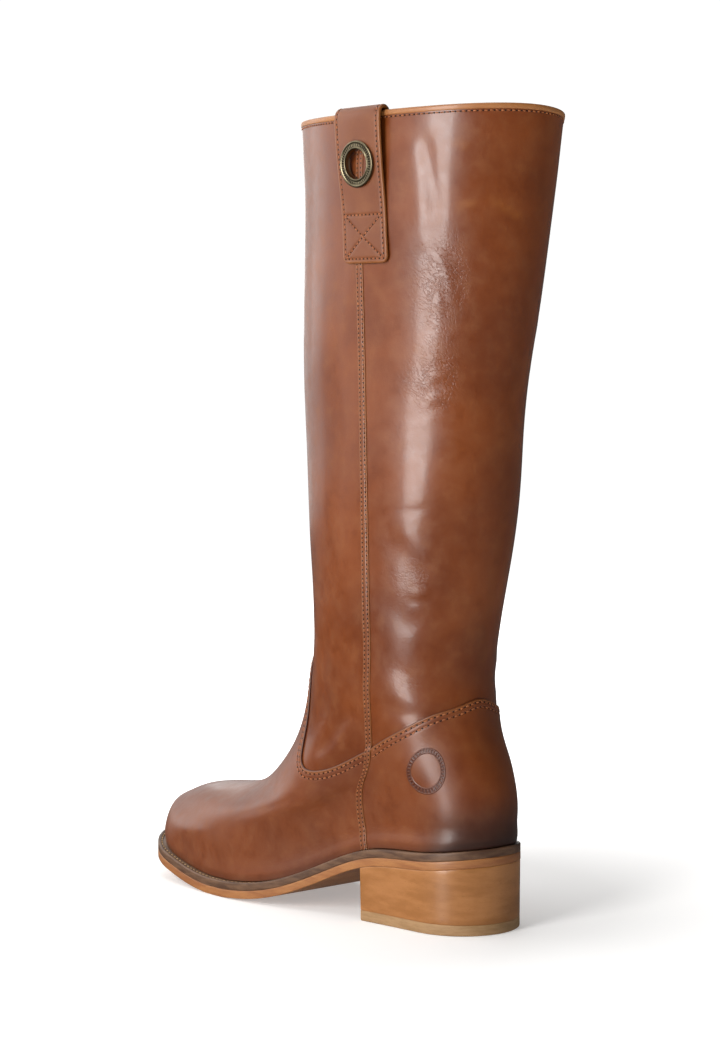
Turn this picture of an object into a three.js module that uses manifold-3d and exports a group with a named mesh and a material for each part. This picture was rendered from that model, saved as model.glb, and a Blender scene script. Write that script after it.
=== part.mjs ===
// A knee-high pull-on riding boot for the left foot, on a low block heel.
// Millimetres, +Z up, toe toward -Y, the outer (lateral) side toward +X, standing on z = 0.
//
// Places on the boot are given by three numbers: side (+ is lateral), forward (from the back edge of
// the sole) and height. The upper is one smooth skin of stacked loops: loop 0 is the feather line where
// the skin meets the welt, the last loop is the top line. Each loop runs from a point on the back seam
// line to a point on the front ridge (toe, vamp, instep, shin), and the pieces laid over the skin are
// cut from the same function.

import * as THREE from "three";
import { mergeVertices } from "three/addons/utils/BufferGeometryUtils.js";
import Module from "manifold-3d";

const wasm = await Module();
wasm.setup();

// ---------------------------------------------------------------- driving dimensions

const SOLE_LENGTH = 268;
const OUTSOLE_THICKNESS = 4.3;
const WELT_THICKNESS = 4.2;
const GAP = 0.3; // between pieces that meet
const SOLE_STACK = OUTSOLE_THICKNESS + GAP + WELT_THICKNESS;

const HEEL_LENGTH = 74.4; // back edge to breast
const TOP_LIFT = 5.3;
const FLAT_START = 170; // forefoot flat spot on the ground
const FLAT_END = 184;
const TOE_SPRING = 15.5;

const WALL = 2.2; // shaft leather with its lining
const OVERLAY = 1.2; // leather of vamp and counter
const OVERLAY_GAP = 0.7; // under them, where the skin is hollow
const INSOLE_RISE = 2.4; // insole above the welt's top

const ORIGIN = { side: 3.2, forward: 119.8 }; // the middle of the boot seen from above

// Breadth of the sole each side of the heel's centre line.
const OUTLINE = [
  { at: 0, lateral: 30.0, medial: 30.0 },
  { at: 70, lateral: 31.6, medial: 29.5 },
  { at: 105, lateral: 35.3, medial: 26.0 },
  { at: 130, lateral: 40.6, medial: 29.0 },
  { at: 150, lateral: 44.0, medial: 36.0 },
  { at: 170, lateral: 45.2, medial: 42.0 },
  { at: 190, lateral: 43.8, medial: 45.0 },
  { at: 210, lateral: 41.0, medial: 45.3 },
  { at: 235, lateral: 36.3, medial: 43.0 },
  { at: 268, lateral: 31.6, medial: 42.4 },
];
const HEEL_ROUND = { length: 33, power: 2.15 };
const TOE_ROUND = { length: 38, power: 2.2 };

// Height of the outsole's underside: heel seat, waist and ball.
const UNDERSIDE = [
  { at: 0, height: 34.6 },
  { at: 36, height: 31.1 },
  { at: 73, height: 27.3 },
  { at: 100, height: 17.4 },
  { at: 130, height: 5.9 },
  { at: 150, height: 1.7 },
  { at: 170, height: 0.0 },
];

// The upper's loops, from the feather line to the top line.
// back, backHeight: the point on the back line; front, frontHeight: the point on the front ridge
// roundBack, roundFront: how far each end takes to reach the full breadth
// half: half breadth of the plain oval; oval: 0 has the sole's outline, 1 the plain oval
// follow: how far the loop follows the sole's own curve; ridge: side shift of the front point
const LOOPS = [
  { back: 3.2, backHeight: 43.4, front: 262.0, frontHeight: 22.9, roundBack: 31, roundFront: 36,
    half: 44.0, oval: 0.0, follow: 1.0, ridge: -5.0 },
  { back: 1.4, backHeight: 51.0, front: 264.4, frontHeight: 30.2, roundBack: 31, roundFront: 37,
    half: 44.0, oval: 0.0, follow: 1.0, ridge: -5.0 },
  { back: 0.5, backHeight: 60.0, front: 263.0, frontHeight: 40.0, roundBack: 32, roundFront: 52,
    half: 43.0, oval: 0.05, follow: 0.97, ridge: -5.0 },
  { back: 1.6, backHeight: 70.0, front: 254.3, frontHeight: 45.0, roundBack: 33, roundFront: 68,
    half: 41.0, oval: 0.12, follow: 0.93, ridge: -5.0 },
  { back: 4.6, backHeight: 79.5, front: 236.0, frontHeight: 50.6, roundBack: 34, roundFront: 66,
    half: 40.0, oval: 0.24, follow: 0.84, ridge: -5.0 },
  { back: 8.3, backHeight: 88.0, front: 209.0, frontHeight: 53.5, roundBack: 35, roundFront: 62,
    half: 39.0, oval: 0.38, follow: 0.7, ridge: -5.0 },
  { back: 12.0, backHeight: 96.0, front: 183.1, frontHeight: 59.2, roundBack: 37, roundFront: 66,
    half: 38.0, oval: 0.52, follow: 0.54, ridge: -4.5 },
  { back: 15.0, backHeight: 103.5, front: 165.0, frontHeight: 70.7, roundBack: 39, roundFront: 66,
    half: 38.0, oval: 0.66, follow: 0.38, ridge: -4.0 },
  { back: 17.2, backHeight: 110.5, front: 150.8, frontHeight: 84.5, roundBack: 42, roundFront: 63,
    half: 38.0, oval: 0.78, follow: 0.24, ridge: -3.3 },
  { back: 18.5, backHeight: 117.5, front: 140.5, frontHeight: 100.5, roundBack: 45, roundFront: 59,
    half: 38.0, oval: 0.88, follow: 0.12, ridge: -2.5 },
  { back: 19.0, backHeight: 125.0, front: 134.0, frontHeight: 119.0, roundBack: 49, roundFront: 56,
    half: 38.6, oval: 0.95, follow: 0.05, ridge: -1.5 },
  { back: 18.3, backHeight: 134.0, front: 129.8, frontHeight: 139.0, roundBack: 53, roundFront: 55,
    half: 39.5, oval: 1.0, follow: 0.0, ridge: -0.8 },
  { back: 16.2, backHeight: 147.0, front: 128.3, frontHeight: 157.5, roundBack: 56, roundFront: 56,
    half: 40.8, oval: 1.0, follow: 0.0, ridge: 0.0 },
  { back: 12.2, backHeight: 166.0, front: 129.0, frontHeight: 177.5, roundBack: 59, roundFront: 59,
    half: 42.0, oval: 1.0, follow: 0.0, ridge: 0.0 },
  { back: 7.2, backHeight: 190.0, front: 131.3, frontHeight: 200.5, roundBack: 62, roundFront: 62,
    half: 43.0, oval: 1.0, follow: 0.0, ridge: 0.0 },
  { back: 2.6, backHeight: 218.0, front: 133.5, frontHeight: 227.0, roundBack: 65, roundFront: 65,
    half: 43.8, oval: 1.0, follow: 0.0, ridge: 0.0 },
  { back: -1.2, backHeight: 248.0, front: 135.0, frontHeight: 255.0, roundBack: 68, roundFront: 68,
    half: 44.2, oval: 1.0, follow: 0.0, ridge: 0.0 },
  { back: -5.8, backHeight: 282.0, front: 135.9, frontHeight: 287.5, roundBack: 71, roundFront: 71,
    half: 45.2, oval: 1.0, follow: 0.0, ridge: 0.0 },
  { back: -12.6, backHeight: 318.0, front: 135.9, frontHeight: 322.5, roundBack: 75, roundFront: 75,
    half: 46.8, oval: 1.0, follow: 0.0, ridge: 0.0 },
  { back: -19.2, backHeight: 354.0, front: 135.4, frontHeight: 358.5, roundBack: 79, roundFront: 79,
    half: 48.4, oval: 1.0, follow: 0.0, ridge: 0.0 },
  { back: -24.4, backHeight: 386.0, front: 135.2, frontHeight: 390.5, roundBack: 81, roundFront: 81,
    half: 49.7, oval: 1.0, follow: 0.0, ridge: 0.0 },
  { back: -28.5, backHeight: 412.5, front: 136.8, frontHeight: 419.3, roundBack: 83, roundFront: 83,
    half: 50.5, oval: 1.0, follow: 0.0, ridge: 0.0 },
];
const TOP = LOOPS.length - 1;
const TOP_DIP = 3.0; // the top line is this much lower at the sides
const TOP_DIP_LOOPS = 4; // over this many loops
// Under the vamp and the counter the skin lies deeper, so that the outline is that of their faces.
const SUNK = { back: 1.3, front: 0.3, start: 0.4, full: 1.6, fade: 6.5, none: 9.0, ahead: 2.5 };
const FEATHER_INSET = { forefoot: 5.2, heel: 3.0, reach: 60 }; // skin inside the sole's edge

// The side seam, as seen from the side, from the welt up to the counter's edge.
const SIDE_SEAM = [
  { forward: 73.4, height: 20 },
  { forward: 73.0, height: 50 },
  { forward: 71.6, height: 66 },
  { forward: 64.4, height: 90 },
];
// Upper edge of the heel counter, from the side seam back, and of the vamp, from the seam forward.
const COUNTER_EDGE = [
  { forward: 58.7, height: 92.6 },
  { forward: 44.6, height: 99.6 },
  { forward: 34.0, height: 105.6 },
  { forward: 26.0, height: 110.2 },
  { forward: 19.0, height: 114.2 },
  { forward: -15.0, height: 116.5 },
];
const VAMP_EDGE = [
  { forward: 73.4, height: 85.0 },
  { forward: 87.5, height: 78.8 },
  { forward: 101.0, height: 75.2 },
  { forward: 110.0, height: 75.4 },
  { forward: 115.6, height: 79.5 },
  { forward: 117.6, height: 87.0 },
  { forward: 117.2, height: 98.0 },
  { forward: 117.8, height: 110.0 },
  { forward: 120.0, height: 122.0 },
  { forward: 124.0, height: 132.0 },
  { forward: 128.6, height: 138.6 },
  { forward: 150.0, height: 143.0 },
];

const STRAP = { middle: 50.8, half: 15.2, taper: 0.06, thickness: 1.8, across: 6 };
// The strap's middle line: out from the shaft's surface, and up from the top line.
const STRAP_PATH = [
  { out: 1.2, up: -75.4 },
  { out: 1.2, up: -63 },
  { out: 1.25, up: -51 },
  { out: 1.9, up: -40 },
  { out: 2.9, up: -28 },
  { out: 3.7, up: -16 },
  { out: 4.1, up: -6 },
  { out: 3.9, up: -1.4 },
  { out: 2.8, up: 1.3 },
  { out: 1.0, up: 2.6 },
  { out: -1.4, up: 2.4 },
  { out: -3.2, up: 0.6 },
  { out: -4.0, up: -2.9 },
  { out: -3.8, up: -9 },
  { out: -3.45, up: -18 },
  { out: -3.45, up: -40 },
];
const EYELET = { up: -25.6, outer: 11.8, hole: 7.5, barrel: 8.3, flange: 1.3, round: 0.5 };

const AROUND = 48; // facets round a loop
const LOOP_STEP = 0.7; // loops between rows of facets
const ALONG = 34; // stations along the sole

// ---------------------------------------------------------------- curves

// Natural cubic spline through the rows of a table: a function of the place on the `at` scale.
function spline(at, value) {
  const n = at.length;
  const width = at.slice(1).map((x, i) => x - at[i]);
  const slope = width.map((w, i) => (value[i + 1] - value[i]) / w);
  const bend = new Array(n).fill(0);
  const ratio = new Array(n).fill(0);
  for (let i = 1; i < n - 1; i++) {
    const pivot = 2 * (width[i - 1] + width[i]) - width[i - 1] * ratio[i - 1];
    ratio[i] = width[i] / pivot;
    bend[i] = (6 * (slope[i] - slope[i - 1]) - width[i - 1] * bend[i - 1]) / pivot;
  }
  for (let i = n - 2; i > 0; i--) bend[i] -= ratio[i] * bend[i + 1];
  return (x) => {
    let i = 0;
    while (i < n - 2 && x > at[i + 1]) i++;
    const [w, a, b] = [width[i], at[i + 1] - x, x - at[i]];
    return (
      (bend[i] * a ** 3 + bend[i + 1] * b ** 3) / (6 * w) +
      (value[i] / w - (bend[i] * w) / 6) * a +
      (value[i + 1] / w - (bend[i + 1] * w) / 6) * b
    );
  };
}

const clamp = THREE.MathUtils.clamp;
const column = (table, name) => table.map((row) => row[name]);
const breadth = {
  lateral: spline(column(OUTLINE, "at"), column(OUTLINE, "lateral")),
  medial: spline(column(OUTLINE, "at"), column(OUTLINE, "medial")),
};
const undersideCurve = spline(column(UNDERSIDE, "at"), column(UNDERSIDE, "height"));
const loopNumber = LOOPS.map((_, i) => i);
const loopAt = Object.fromEntries(
  Object.keys(LOOPS[0]).map((name) => [name, spline(loopNumber, column(LOOPS, name))]),
);

// Height of the outsole's underside: the curve behind the flat spot, the toe spring ahead of it.
function underside(forward) {
  if (forward < FLAT_START) return Math.max(0, undersideCurve(Math.max(forward, 0)));
  return TOE_SPRING * (Math.max(forward - FLAT_END, 0) / (SOLE_LENGTH - FLAT_END)) ** 1.55;
}

// Share of the full breadth left at a distance from the rounded end of an outline.
function endRound(distance, length, power) {
  return Math.sqrt(1 - clamp(1 - distance / length, 0, 1) ** power);
}

// The sole's edge: middle line and half breadth at a place along it.
function soleSection(forward) {
  const [lateral, medial] = [breadth.lateral(forward), breadth.medial(forward)];
  const share =
    endRound(forward, HEEL_ROUND.length, HEEL_ROUND.power) *
    endRound(SOLE_LENGTH - forward, TOE_ROUND.length, TOE_ROUND.power);
  return { middle: (lateral - medial) / 2, half: ((lateral + medial) / 2) * share };
}

// ---------------------------------------------------------------- the upper's skin

const FEATHER = LOOPS[0];
const weltTop = (forward) => underside(forward) + SOLE_STACK;
const seat = { back: weltTop(FEATHER.back), front: weltTop(FEATHER.front) };

// Point of the outer skin. angle: 0 at the back line, 90 degrees lateral, 180 at the front ridge.
function skin(angle, loop) {
  const row = {};
  for (const name in loopAt) row[name] = loopAt[name](loop);
  const [oval, follow] = [clamp(row.oval, 0, 1), clamp(row.follow, 0, 1)];
  const share = (1 - Math.cos(angle)) / 2;
  const forward = row.back + (row.front - row.back) * share;

  const place = FEATHER.back + (FEATHER.front - FEATHER.back) * share;
  const { forefoot, heel, reach } = FEATHER_INSET;
  const inset = forefoot - (forefoot - heel) * Math.exp(-((place / reach) ** 2));
  const [lateral, medial] = [breadth.lateral(place) - inset, breadth.medial(place) - inset];
  const middle = ((lateral - medial) / 2) * (1 - oval) + row.ridge * share ** 2 * oval;
  const half = ((lateral + medial) / 2) * (1 - oval) + row.half * oval;
  const ends =
    endRound(forward - row.back, row.roundBack, 2.1) * endRound(row.front - forward, row.roundFront, 2.1);

  const straight = row.backHeight + (row.frontHeight - row.backHeight) * share;
  const curve = weltTop(place) - (seat.back + (seat.front - seat.back) * share);
  const dip = TOP_DIP * Math.sin(angle) ** 2 * clamp((loop - TOP + TOP_DIP_LOOPS) / TOP_DIP_LOOPS, 0, 1);
  const side = middle + Math.sign(Math.sin(angle)) * half * ends;
  return new THREE.Vector3(side, -forward, straight + follow * curve - dip);
}

// Outward normal of the skin, turned level near the feather line and at the top line.
function skinNormal(angle, loop) {
  const step = 0.01;
  const [low, high] = [Math.max(loop - step, 0), Math.min(loop + step, TOP)];
  const around = skin(angle + step, loop).sub(skin(angle - step, loop));
  const up = skin(angle, high).sub(skin(angle, low));
  const normal = up.cross(around).normalize();
  const level = 1 - Math.min(clamp(loop, 0, 1), clamp((TOP - loop) * 2, 0, 1));
  normal.z *= 1 - level;
  return normal.normalize();
}

// How much deeper the skin lies, under the vamp and the counter; further up at the front ridge.
function sunk(angle, loop) {
  const { smoothstep } = THREE.MathUtils;
  const share = (1 - Math.cos(angle)) / 2;
  const higher = SUNK.ahead * share;
  const fade = smoothstep(loop, SUNK.fade + higher, SUNK.none + higher);
  const depth = SUNK.back + (SUNK.front - SUNK.back) * share;
  return depth * smoothstep(loop, SUNK.start, SUNK.full) * (1 - fade);
}

// A sheet at a distance from the skin, its lowest loop kept just clear of the welt.
function offsetSkin(angle, loop, out) {
  const deep = sunk(angle, loop);
  const point = skin(angle, loop).addScaledVector(skinNormal(angle, loop), out - deep);
  if (loop === 0) point.z = weltTop(-point.y) + GAP;
  return point;
}

// ---------------------------------------------------------------- solids from grids of points

// A solid from a closed grid of points, rows by columns. Quads keep the order given.
function solidFromQuads(points, quads) {
  const index = quads.flatMap(([a, b, c, d]) => [a, b, c, a, c, d]);
  const geometry = new THREE.BufferGeometry().setFromPoints(points);
  geometry.setIndex(index);
  return closed(geometry);
}

// Merges shared vertices and drops triangles that have shrunk to nothing.
function closed(geometry) {
  for (const name of Object.keys(geometry.attributes)) {
    if (name !== "position") geometry.deleteAttribute(name);
  }
  const merged = mergeVertices(geometry, 1e-3);
  const index = merged.index.array;
  const kept = [];
  for (let i = 0; i < index.length; i += 3) {
    const [a, b, c] = [index[i], index[i + 1], index[i + 2]];
    if (a !== b && b !== c && c !== a) kept.push(a, b, c);
  }
  merged.setIndex(kept);
  return merged;
}

// A wall between an outer and an inner sheet, closed round, open at both ends and rimmed there.
function wallSolid(outer, inner) {
  const [rows, columns] = [outer.length, outer[0].length];
  const points = [...outer.flat(), ...inner.flat()];
  const at = (sheet, row, col) => sheet * rows * columns + row * columns + (col % columns);
  const quads = [];
  for (let c = 0; c < columns; c++) {
    for (let r = 0; r < rows - 1; r++) {
      quads.push([at(0, r, c + 1), at(0, r, c), at(0, r + 1, c), at(0, r + 1, c + 1)]);
      quads.push([at(1, r, c), at(1, r, c + 1), at(1, r + 1, c + 1), at(1, r + 1, c)]);
    }
    quads.push([at(0, 0, c), at(0, 0, c + 1), at(1, 0, c + 1), at(1, 0, c)]);
    quads.push([at(0, rows - 1, c + 1), at(0, rows - 1, c), at(1, rows - 1, c), at(1, rows - 1, c + 1)]);
  }
  return solidFromQuads(points, quads);
}

// A solid along a row of four-cornered sections, closed by its first and last section.
function barSolid(sections) {
  const points = sections.flat();
  const quads = [[3, 2, 1, 0]];
  for (let i = 0; i < sections.length - 1; i++) {
    for (let k = 0; k < 4; k++) {
      const next = (k + 1) % 4;
      quads.push([4 * i + k, 4 * i + next, 4 * i + 4 + next, 4 * i + 4 + k]);
    }
  }
  const last = 4 * (sections.length - 1);
  quads.push([last, last + 1, last + 2, last + 3]);
  return solidFromQuads(points, quads);
}

function toManifold(geometry) {
  return new wasm.Manifold(
    new wasm.Mesh({
      numProp: 3,
      vertProperties: new Float32Array(geometry.attributes.position.array),
      triVerts: new Uint32Array(geometry.index.array),
    }),
  );
}

function fromManifold(solid) {
  const mesh = solid.getMesh();
  const geometry = new THREE.BufferGeometry();
  geometry.setAttribute("position", new THREE.BufferAttribute(new Float32Array(mesh.vertProperties), 3));
  geometry.setIndex([...mesh.triVerts]);
  return geometry;
}

// ---------------------------------------------------------------- the upper and its overlays

function skinWall(out, inn, topLoop) {
  const rows = Math.round(topLoop / LOOP_STEP);
  const sheet = (offset) =>
    Array.from({ length: rows + 1 }, (_, r) =>
      Array.from({ length: AROUND }, (_, c) =>
        offsetSkin((2 * Math.PI * (c + 0.5)) / AROUND, (topLoop * r) / rows, offset),
      ),
    );
  return wallSolid(sheet(out), sheet(inn));
}

// A flat outline in the side view (forward, height), carried right across the boot.
function sideView(outline) {
  const reach = 90;
  const shape = new THREE.Shape(outline.map(({ forward, height }) => new THREE.Vector2(forward, height)));
  const block = new THREE.ExtrudeGeometry(shape, { depth: 2 * reach, bevelEnabled: false });
  const across = new THREE.Matrix4().makeBasis(
    new THREE.Vector3(0, -1, 0),
    new THREE.Vector3(0, 0, 1),
    new THREE.Vector3(-1, 0, 0),
  );
  block.applyMatrix4(across.setPosition(reach, 0, 0));
  return closed(block);
}

// The overlay's leather lies on the skin, cut by an outline in the side view.
function overlay(outline) {
  const highest = 13.3; // loops: well above both overlays
  const leather = toManifold(skinWall(OVERLAY_GAP + OVERLAY, OVERLAY_GAP, highest));
  return fromManifold(leather.intersect(toManifold(sideView(outline))));
}

const shiftForward = (points, by) =>
  points.map(({ forward, height }) => ({ forward: forward + by, height }));

function heelCounter() {
  const seam = shiftForward(SIDE_SEAM, -GAP / 2);
  return overlay([
    { forward: -60, height: 0 },
    { forward: seam[0].forward, height: 0 },
    ...seam,
    ...COUNTER_EDGE,
    { forward: -60, height: 116.5 },
  ]);
}

function vamp() {
  const seam = shiftForward(SIDE_SEAM, GAP / 2);
  return overlay([
    { forward: 300, height: 0 },
    { forward: 300, height: 143 },
    ...VAMP_EDGE.toReversed(),
    ...seam.toReversed(),
    { forward: seam[0].forward, height: 0 },
  ]);
}

// ---------------------------------------------------------------- sole pieces

// Stations from back to front, closer together at the rounded ends, with the given places among them.
function stations(from, to, fixed) {
  const round = Array.from({ length: ALONG + 1 }, (_, i) => {
    const share = (1 - Math.cos((Math.PI * i) / ALONG)) / 2;
    return from + (SOLE_LENGTH - from) * share;
  }).filter((x) => x <= to && fixed.every((f) => Math.abs(f - x) > 2.5));
  return [...round, ...fixed].sort((a, b) => a - b);
}

// A plate with the sole's outline between two heights, each a function of the place along it.
function soleSlab(places, inset, bottom, top) {
  return barSolid(
    places.map((forward) => {
      const { middle, half } = soleSection(forward);
      const reach = Math.max(half - inset, 0);
      const corner = (side, height) => new THREE.Vector3(middle + side * reach, -forward, height);
      const [low, high] = [bottom(forward), top(forward)];
      return [corner(1, low), corner(1, high), corner(-1, high), corner(-1, low)];
    }),
  );
}

const outsoleTop = (forward) => underside(forward) + OUTSOLE_THICKNESS;

function outsole() {
  const places = stations(0, SOLE_LENGTH, [HEEL_LENGTH, FLAT_START, FLAT_END]);
  return soleSlab(places, 0, underside, outsoleTop);
}

function heelBlock() {
  return soleSlab(stations(0, HEEL_LENGTH, [HEEL_LENGTH]), 0.2,
    () => TOP_LIFT + GAP, (forward) => underside(forward) - GAP);
}

function topLift() {
  return soleSlab(stations(0, HEEL_LENGTH, [HEEL_LENGTH]), 0.2, () => 0, () => TOP_LIFT);
}

// Points round the boot just inside the upper's wall.
const insideFeather = (inset) =>
  Array.from({ length: AROUND }, (_, c) =>
    offsetSkin((2 * Math.PI * (c + 0.5)) / AROUND, 0, -WALL - inset),
  );

// The welt is a ring: the sole's edge outside, the insole's edge inside.
function welt() {
  const inside = insideFeather(GAP);
  const outside = inside.map((_, c) => {
    const angle = (2 * Math.PI * (c + 0.5)) / AROUND;
    const forward = (SOLE_LENGTH * (1 - Math.cos(angle))) / 2;
    const { middle, half } = soleSection(forward);
    return new THREE.Vector3(middle + Math.sign(Math.sin(angle)) * half, -forward, 0);
  });
  const raised = (points, height) =>
    points.map((p) => new THREE.Vector3(p.x, p.y, underside(-p.y) + height));
  const [low, high] = [OUTSOLE_THICKNESS + GAP, SOLE_STACK];
  return wallSolid(
    [raised(outside, low), raised(outside, high)],
    [raised(inside, low), raised(inside, high)],
  );
}

function insole() {
  const edge = insideFeather(2 * GAP);
  const half = AROUND / 2;
  const pairs = Array.from({ length: half }, (_, i) => [edge[i], edge[AROUND - 1 - i]]);
  const height = (point, rise) => new THREE.Vector3(point.x, point.y, underside(-point.y) + rise);
  const [low, high] = [OUTSOLE_THICKNESS + GAP, SOLE_STACK + INSOLE_RISE];
  return barSolid(
    pairs.map(([lateral, medial]) => [
      height(lateral, low),
      height(lateral, high),
      height(medial, high),
      height(medial, low),
    ]),
  );
}

// ---------------------------------------------------------------- pull strap and eyelet

// The place on the skin that is `forward` along the lateral side and `up` from the top line.
function besideTopLine(forward, up) {
  const target = -Math.min(up, 0);
  let loop = TOP;
  const angleAt = (at) => {
    const [back, front] = [loopAt.back(at), loopAt.front(at)];
    return Math.acos(1 - (2 * (forward - back)) / (front - back));
  };
  const top = skin(angleAt(TOP), TOP);
  for (let pass = 0; pass < 40; pass++) {
    const depth = top.z - skin(angleAt(loop), loop).z;
    loop -= (target - depth) / 36;
  }
  return { angle: angleAt(loop), loop };
}

// A point of the strap: `forward` across it, `out` from the shaft, `up` from the top line.
function strapPoint(forward, out, up) {
  const { angle, loop } = besideTopLine(forward, up);
  const point = offsetSkin(angle, Math.min(loop, TOP), out);
  point.z += Math.max(up, 0);
  return point;
}

function strapSheet(side) {
  return STRAP_PATH.map((here, i) => {
    const before = STRAP_PATH[Math.max(i - 1, 0)];
    const after = STRAP_PATH[Math.min(i + 1, STRAP_PATH.length - 1)];
    const along = new THREE.Vector2(after.out - before.out, after.up - before.up).normalize();
    const out = here.out + (side * along.y * STRAP.thickness) / 2;
    const up = here.up - (side * along.x * STRAP.thickness) / 2;
    const half = STRAP.half * (1 + STRAP.taper * clamp(1 + here.up / 60, 0, 1));
    return Array.from({ length: STRAP.across + 1 }, (_, k) =>
      strapPoint(STRAP.middle + half * ((2 * k) / STRAP.across - 1), out, up),
    );
  });
}

// Both faces of the strap are carried along the path, and the edges between them closed.
function strapBody() {
  const rows = STRAP_PATH.length;
  const columns = 2 * (STRAP.across + 1);
  const [outer, inner] = [strapSheet(1), strapSheet(-1)];
  const points = outer.flatMap((row, i) => [...row, ...inner[i].toReversed()]);
  const quads = [];
  for (let r = 0; r < rows - 1; r++) {
    for (let c = 0; c < columns; c++) {
      const next = (c + 1) % columns;
      quads.push([r * columns + next, r * columns + c, (r + 1) * columns + c, (r + 1) * columns + next]);
    }
  }
  for (let k = 0; k < STRAP.across; k++) {
    const cap = [k, k + 1, columns - 2 - k, columns - 1 - k];
    quads.push(cap);
    quads.push(cap.map((i) => i + (rows - 1) * columns).toReversed());
  }
  return solidFromQuads(points, quads);
}

// Where the eyelet sits: on the strap's outer face, its axis square to it.
function eyeletPlace() {
  const path = spline(
    column(STRAP_PATH.slice(0, 7), "up"),
    column(STRAP_PATH.slice(0, 7), "out"),
  );
  const face = (forward, up) => strapPoint(forward, path(up) + STRAP.thickness / 2, up);
  const [step, middle] = [4, STRAP.middle];
  const along = face(middle + step, EYELET.up).sub(face(middle - step, EYELET.up));
  const up = face(middle, EYELET.up + step).sub(face(middle, EYELET.up - step));
  const axis = up.clone().cross(along).normalize();
  const centre = face(middle, EYELET.up);
  return new THREE.Matrix4()
    .makeRotationFromQuaternion(new THREE.Quaternion().setFromUnitVectors(new THREE.Vector3(0, 1, 0), axis))
    .setPosition(centre);
}

function pullStrap() {
  const punch = new THREE.CylinderGeometry(EYELET.barrel + GAP, EYELET.barrel + GAP, 7, 32);
  punch.applyMatrix4(eyeletPlace());
  return fromManifold(toManifold(strapBody()).subtract(toManifold(closed(punch))));
}

// A flanged ring: the flange lies on the strap, the barrel goes through it.
function eyelet() {
  const { outer, hole, barrel, flange, round } = EYELET;
  const profile = [
    [hole, -STRAP.thickness],
    [barrel, -STRAP.thickness],
    [barrel, GAP],
    [outer, GAP],
    [outer, GAP + flange - round],
    [outer - round, GAP + flange],
    [hole + round, GAP + flange],
    [hole, GAP + flange - round],
    [hole, -STRAP.thickness],
  ].map(([radius, height]) => new THREE.Vector2(radius, height));
  const ring = new THREE.LatheGeometry(profile, 36);
  ring.applyMatrix4(eyeletPlace());
  return closed(ring);
}

// ---------------------------------------------------------------- the boot

const finish = (color, roughness, metalness = 0) =>
  new THREE.MeshStandardMaterial({ color, roughness, metalness, flatShading: true });

const MATERIALS = {
  upper: finish(0x8a5238, 0.35),
  strap: finish(0x94603f, 0.4),
  eyelet: finish(0x8b7d60, 0.35, 1),
  insole: finish(0xc39a6b, 0.7),
  welt: finish(0x7a5c48, 0.6),
  outsole: finish(0xb0733f, 0.55),
  heel: finish(0xb07a40, 0.5),
  lift: finish(0xa9825a, 0.6),
};

const PIECES = [
  ["outsole", outsole(), MATERIALS.outsole],
  ["top_lift", topLift(), MATERIALS.lift],
  ["heel_block", heelBlock(), MATERIALS.heel],
  ["welt", welt(), MATERIALS.welt],
  ["insole", insole(), MATERIALS.insole],
  ["upper", skinWall(0, -WALL, TOP), MATERIALS.upper],
  ["vamp", vamp(), MATERIALS.upper],
  ["heel_counter", heelCounter(), MATERIALS.upper],
  ["pull_strap", pullStrap(), MATERIALS.strap],
  ["eyelet", eyelet(), MATERIALS.eyelet],
];

const boot = new THREE.Group();
boot.position.set(-ORIGIN.side, ORIGIN.forward, 0);
for (const [name, geometry, material] of PIECES) {
  const mesh = new THREE.Mesh(geometry, material);
  mesh.name = name;
  boot.add(mesh);
}

const object = new THREE.Group();
object.add(boot);
export default object;
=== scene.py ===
"""A knee-high pull-on riding boot for the left foot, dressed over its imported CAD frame.

Every size is in millimetres and every place on the boot is (side, -forward, height): side is
positive to the outer (lateral) side, forward runs from the back edge of the sole to the toe, and the
ground is at height 0. One function turns that into the metres of the row frame.

The upper is one smooth skin of stacked loops. Its two parameters are an angle, 0 at the back seam
line, 90 degrees at the lateral side and 180 at the front, and a loop number, 0 at the feather line
where the skin meets the welt and 21 at the top line.
"""

import logging
import math
from dataclasses import dataclass, field
from enum import Enum
from typing import Callable, Optional, Sequence

import bmesh
import bpy
import numpy as np
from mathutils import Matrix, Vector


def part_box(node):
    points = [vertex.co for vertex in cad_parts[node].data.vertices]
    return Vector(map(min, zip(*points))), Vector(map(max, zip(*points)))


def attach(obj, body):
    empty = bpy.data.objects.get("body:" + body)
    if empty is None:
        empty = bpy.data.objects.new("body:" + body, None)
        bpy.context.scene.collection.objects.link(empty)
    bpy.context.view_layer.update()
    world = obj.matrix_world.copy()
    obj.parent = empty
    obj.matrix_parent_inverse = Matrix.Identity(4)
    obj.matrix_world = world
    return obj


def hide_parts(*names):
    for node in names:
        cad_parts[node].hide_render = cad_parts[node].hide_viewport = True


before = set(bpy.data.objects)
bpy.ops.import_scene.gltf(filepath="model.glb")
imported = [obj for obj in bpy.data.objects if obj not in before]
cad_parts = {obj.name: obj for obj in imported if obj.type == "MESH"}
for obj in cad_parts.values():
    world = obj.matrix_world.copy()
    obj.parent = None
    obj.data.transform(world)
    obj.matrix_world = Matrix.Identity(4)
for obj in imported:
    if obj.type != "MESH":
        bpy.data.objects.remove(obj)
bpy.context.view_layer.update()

LOG = logging.getLogger("riding_boot")
BODY = "root"
MM = 0.001
TURN = 2.0 * math.pi
Socket = bpy.types.NodeSocket
Material = bpy.types.Material
HeightRule = Callable[[np.ndarray], np.ndarray]  # a level's height over the place forward


# ---------- curves and small shapes


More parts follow.
